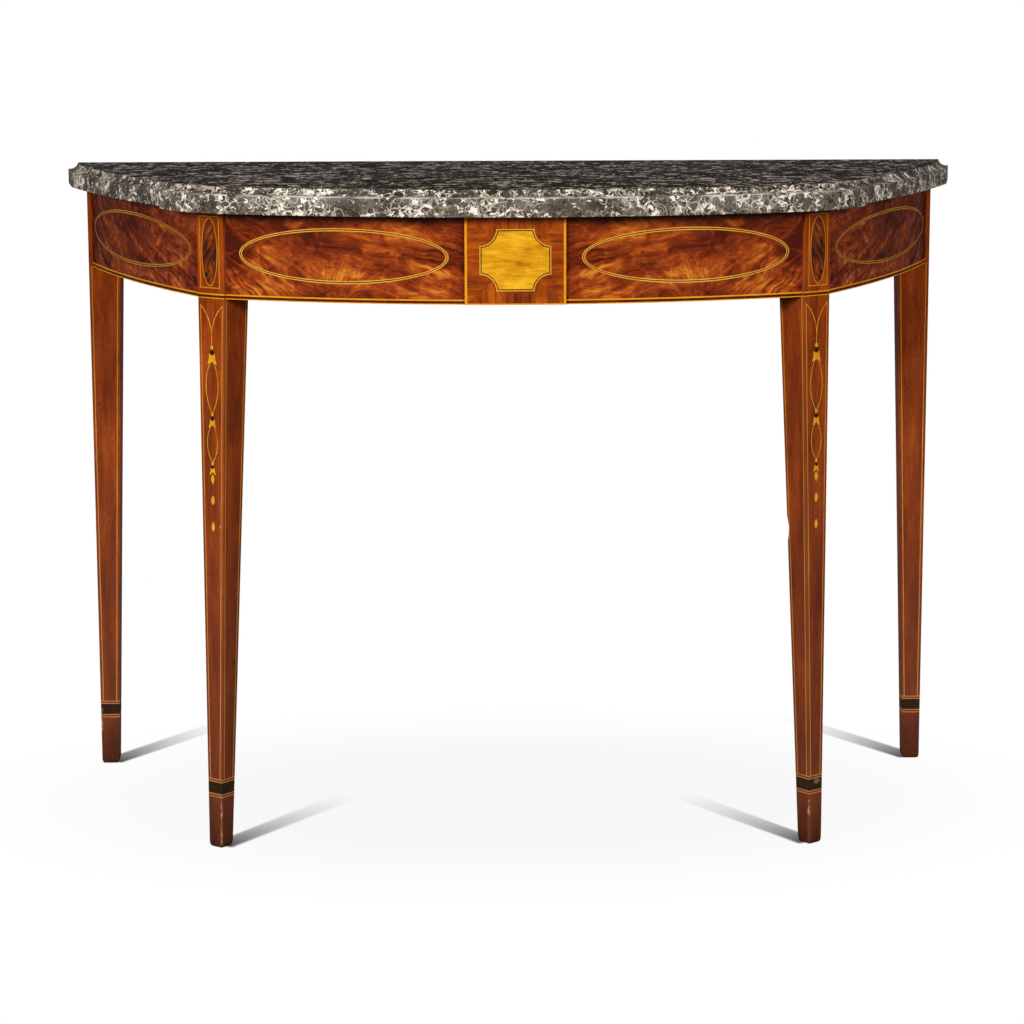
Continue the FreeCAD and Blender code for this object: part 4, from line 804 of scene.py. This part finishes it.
def paleFloor():
    half = studio["floorSize"] / 2
    mesh = bpy.data.meshes.new("floor")
    mesh.from_pydata([(-half, -half, 0), (half, -half, 0), (half, half, 0), (-half, half, 0)], [], [(0, 1, 2, 3)])
    floor = putIn("floor", mesh)
    material = bpy.data.materials.new("matt white paper")  # keeps the shadow beside the feet, white further off
    material.use_nodes = True
    tree = material.node_tree
    shader = tree.nodes["Principled BSDF"]
    shader.inputs["Roughness"].default_value = studio["floorRoughness"]
    shader.inputs["Specular IOR Level"].default_value = 0.0
    place = addNode(tree, "ShaderNodeTexCoord").outputs["Object"]
    axes = split(tree, place)
    mirrored = joined(tree, reckon(tree, "ABSOLUTE", axes["X"]), axes["Y"])
    near = 0.0
    turn = math.atan2(studio["shadowRun"][1], studio["shadowRun"][0])
    for x, y in feet():
        local = addNode(tree, "ShaderNodeMapping", {
            "Vector": mirrored, "Location": (x, y, 0), "Rotation": (0, 0, turn)}, vector_type="TEXTURE")
        strip = split(tree, local)
        away = reckon(tree, "ABSOLUTE", strip["Y"])
        spot = ranged(tree, strip["X"], studio["shadowReach"], 0.0)
        for value, edge in ((strip["X"], "shadowStart"), (away, "shadowSide")):
            spot = reckon(tree, "MULTIPLY", spot, ranged(tree, value, *studio[edge], soft="SMOOTHSTEP"))
        near = reckon(tree, "MAXIMUM", spot, near).outputs[0]
    seen = seenByCamera(tree)
    share = reckon(tree, "MULTIPLY", seen, reckon(tree, "SUBTRACT", 1.0, near))
    bright = [c * studio["floorGain"] for c in linear(studio["floorColour"])]
    paper = paintOver(tree, seen, linear(studio["floorBounce"]), bright)
    # painted shadow: the strips beside the feet are darkened on top of the lamps' shadow
    paper = paintOver(tree, reckon(tree, "MULTIPLY", near, studio["paintedShadowDeep"]), paper, "#000000")
    tree.links.new(paper, shader.inputs["Base Color"])
    # painted shade: a breath of grey under the table
    paintedShadeMask = patch(tree, place, studio["underPlace"], studio["underReach"])
    pale = ranged(tree, paintedShadeMask, 0.0, studio["underEdge"], studio["paintedShadeUnderTable"], 1.0, soft="SMOOTHSTEP")
    white = addNode(tree, "ShaderNodeEmission", {"Strength": pale})
    mixed = addNode(tree, "ShaderNodeMixShader", {0: share, 1: shader, 2: white})
    tree.links.new(mixed.outputs[0], tree.nodes["Material Output"].inputs["Surface"])
    mesh.materials.append(material)


def studioWorld():
    world = bpy.data.worlds.new("studio")
    bpy.context.scene.world = world
    world.use_nodes = True
    tree = world.node_tree
    tree.nodes.clear()
    fill, white = (addNode(tree, "ShaderNodeBackground", {"Color": (1, 1, 1, 1), "Strength": strength})
                   for strength in (studio["ambient"], 1.0))
    mixed = addNode(tree, "ShaderNodeMixShader", {0: seenByCamera(tree), 1: fill, 2: white})
    addNode(tree, "ShaderNodeOutputWorld", {"Surface": mixed})


def softLamps():
    for name, (place, aim, size, power) in studio["lamps"].items():
        light = bpy.data.lights.new(name, "AREA")
        light.shape = "DISK"
        light.size = size
        light.energy = power
        lamp = putIn(name, light)
        lamp.location = place
        lamp.rotation_euler = (Vector(aim) - Vector(place)).to_track_quat("-Z", "Y").to_euler()
        lamp.visible_glossy = name != "lampBehind"


paleFloor()
studioWorld()
softLamps()

# Camera, from the lines of the photograph: metres, radians, and millimetres for the lens and sensor
view = {"place": (-0.0561, -4.03594, 1.13413), "yaw": 0.01354, "pitch": 0.17502, "roll": -0.00305,
        "lens": 105.47, "sensor": 36.0}


def photographView():
    data = bpy.data.cameras.new("camera")
    data.lens = view["lens"]
    data.sensor_width = view["sensor"]
    camera = putIn("camera", data)
    yaw, pitch, roll = view["yaw"], view["pitch"], view["roll"]
    ahead = Vector((math.sin(yaw) * math.cos(pitch), math.cos(yaw) * math.cos(pitch), -math.sin(pitch)))
    level = Vector((math.cos(yaw), -math.sin(yaw), 0))
    upright = level.cross(ahead)
    right = level * math.cos(roll) + upright * math.sin(roll)
    up = upright * math.cos(roll) - level * math.sin(roll)
    turn = Matrix((right, up, -ahead)).transposed()
    camera.matrix_world = Matrix.Translation(view["place"]) @ turn.to_4x4()
    bpy.context.scene.camera = camera


photographView()
bpy.context.scene.view_settings.view_transform = "Standard"
print("studio and camera set")
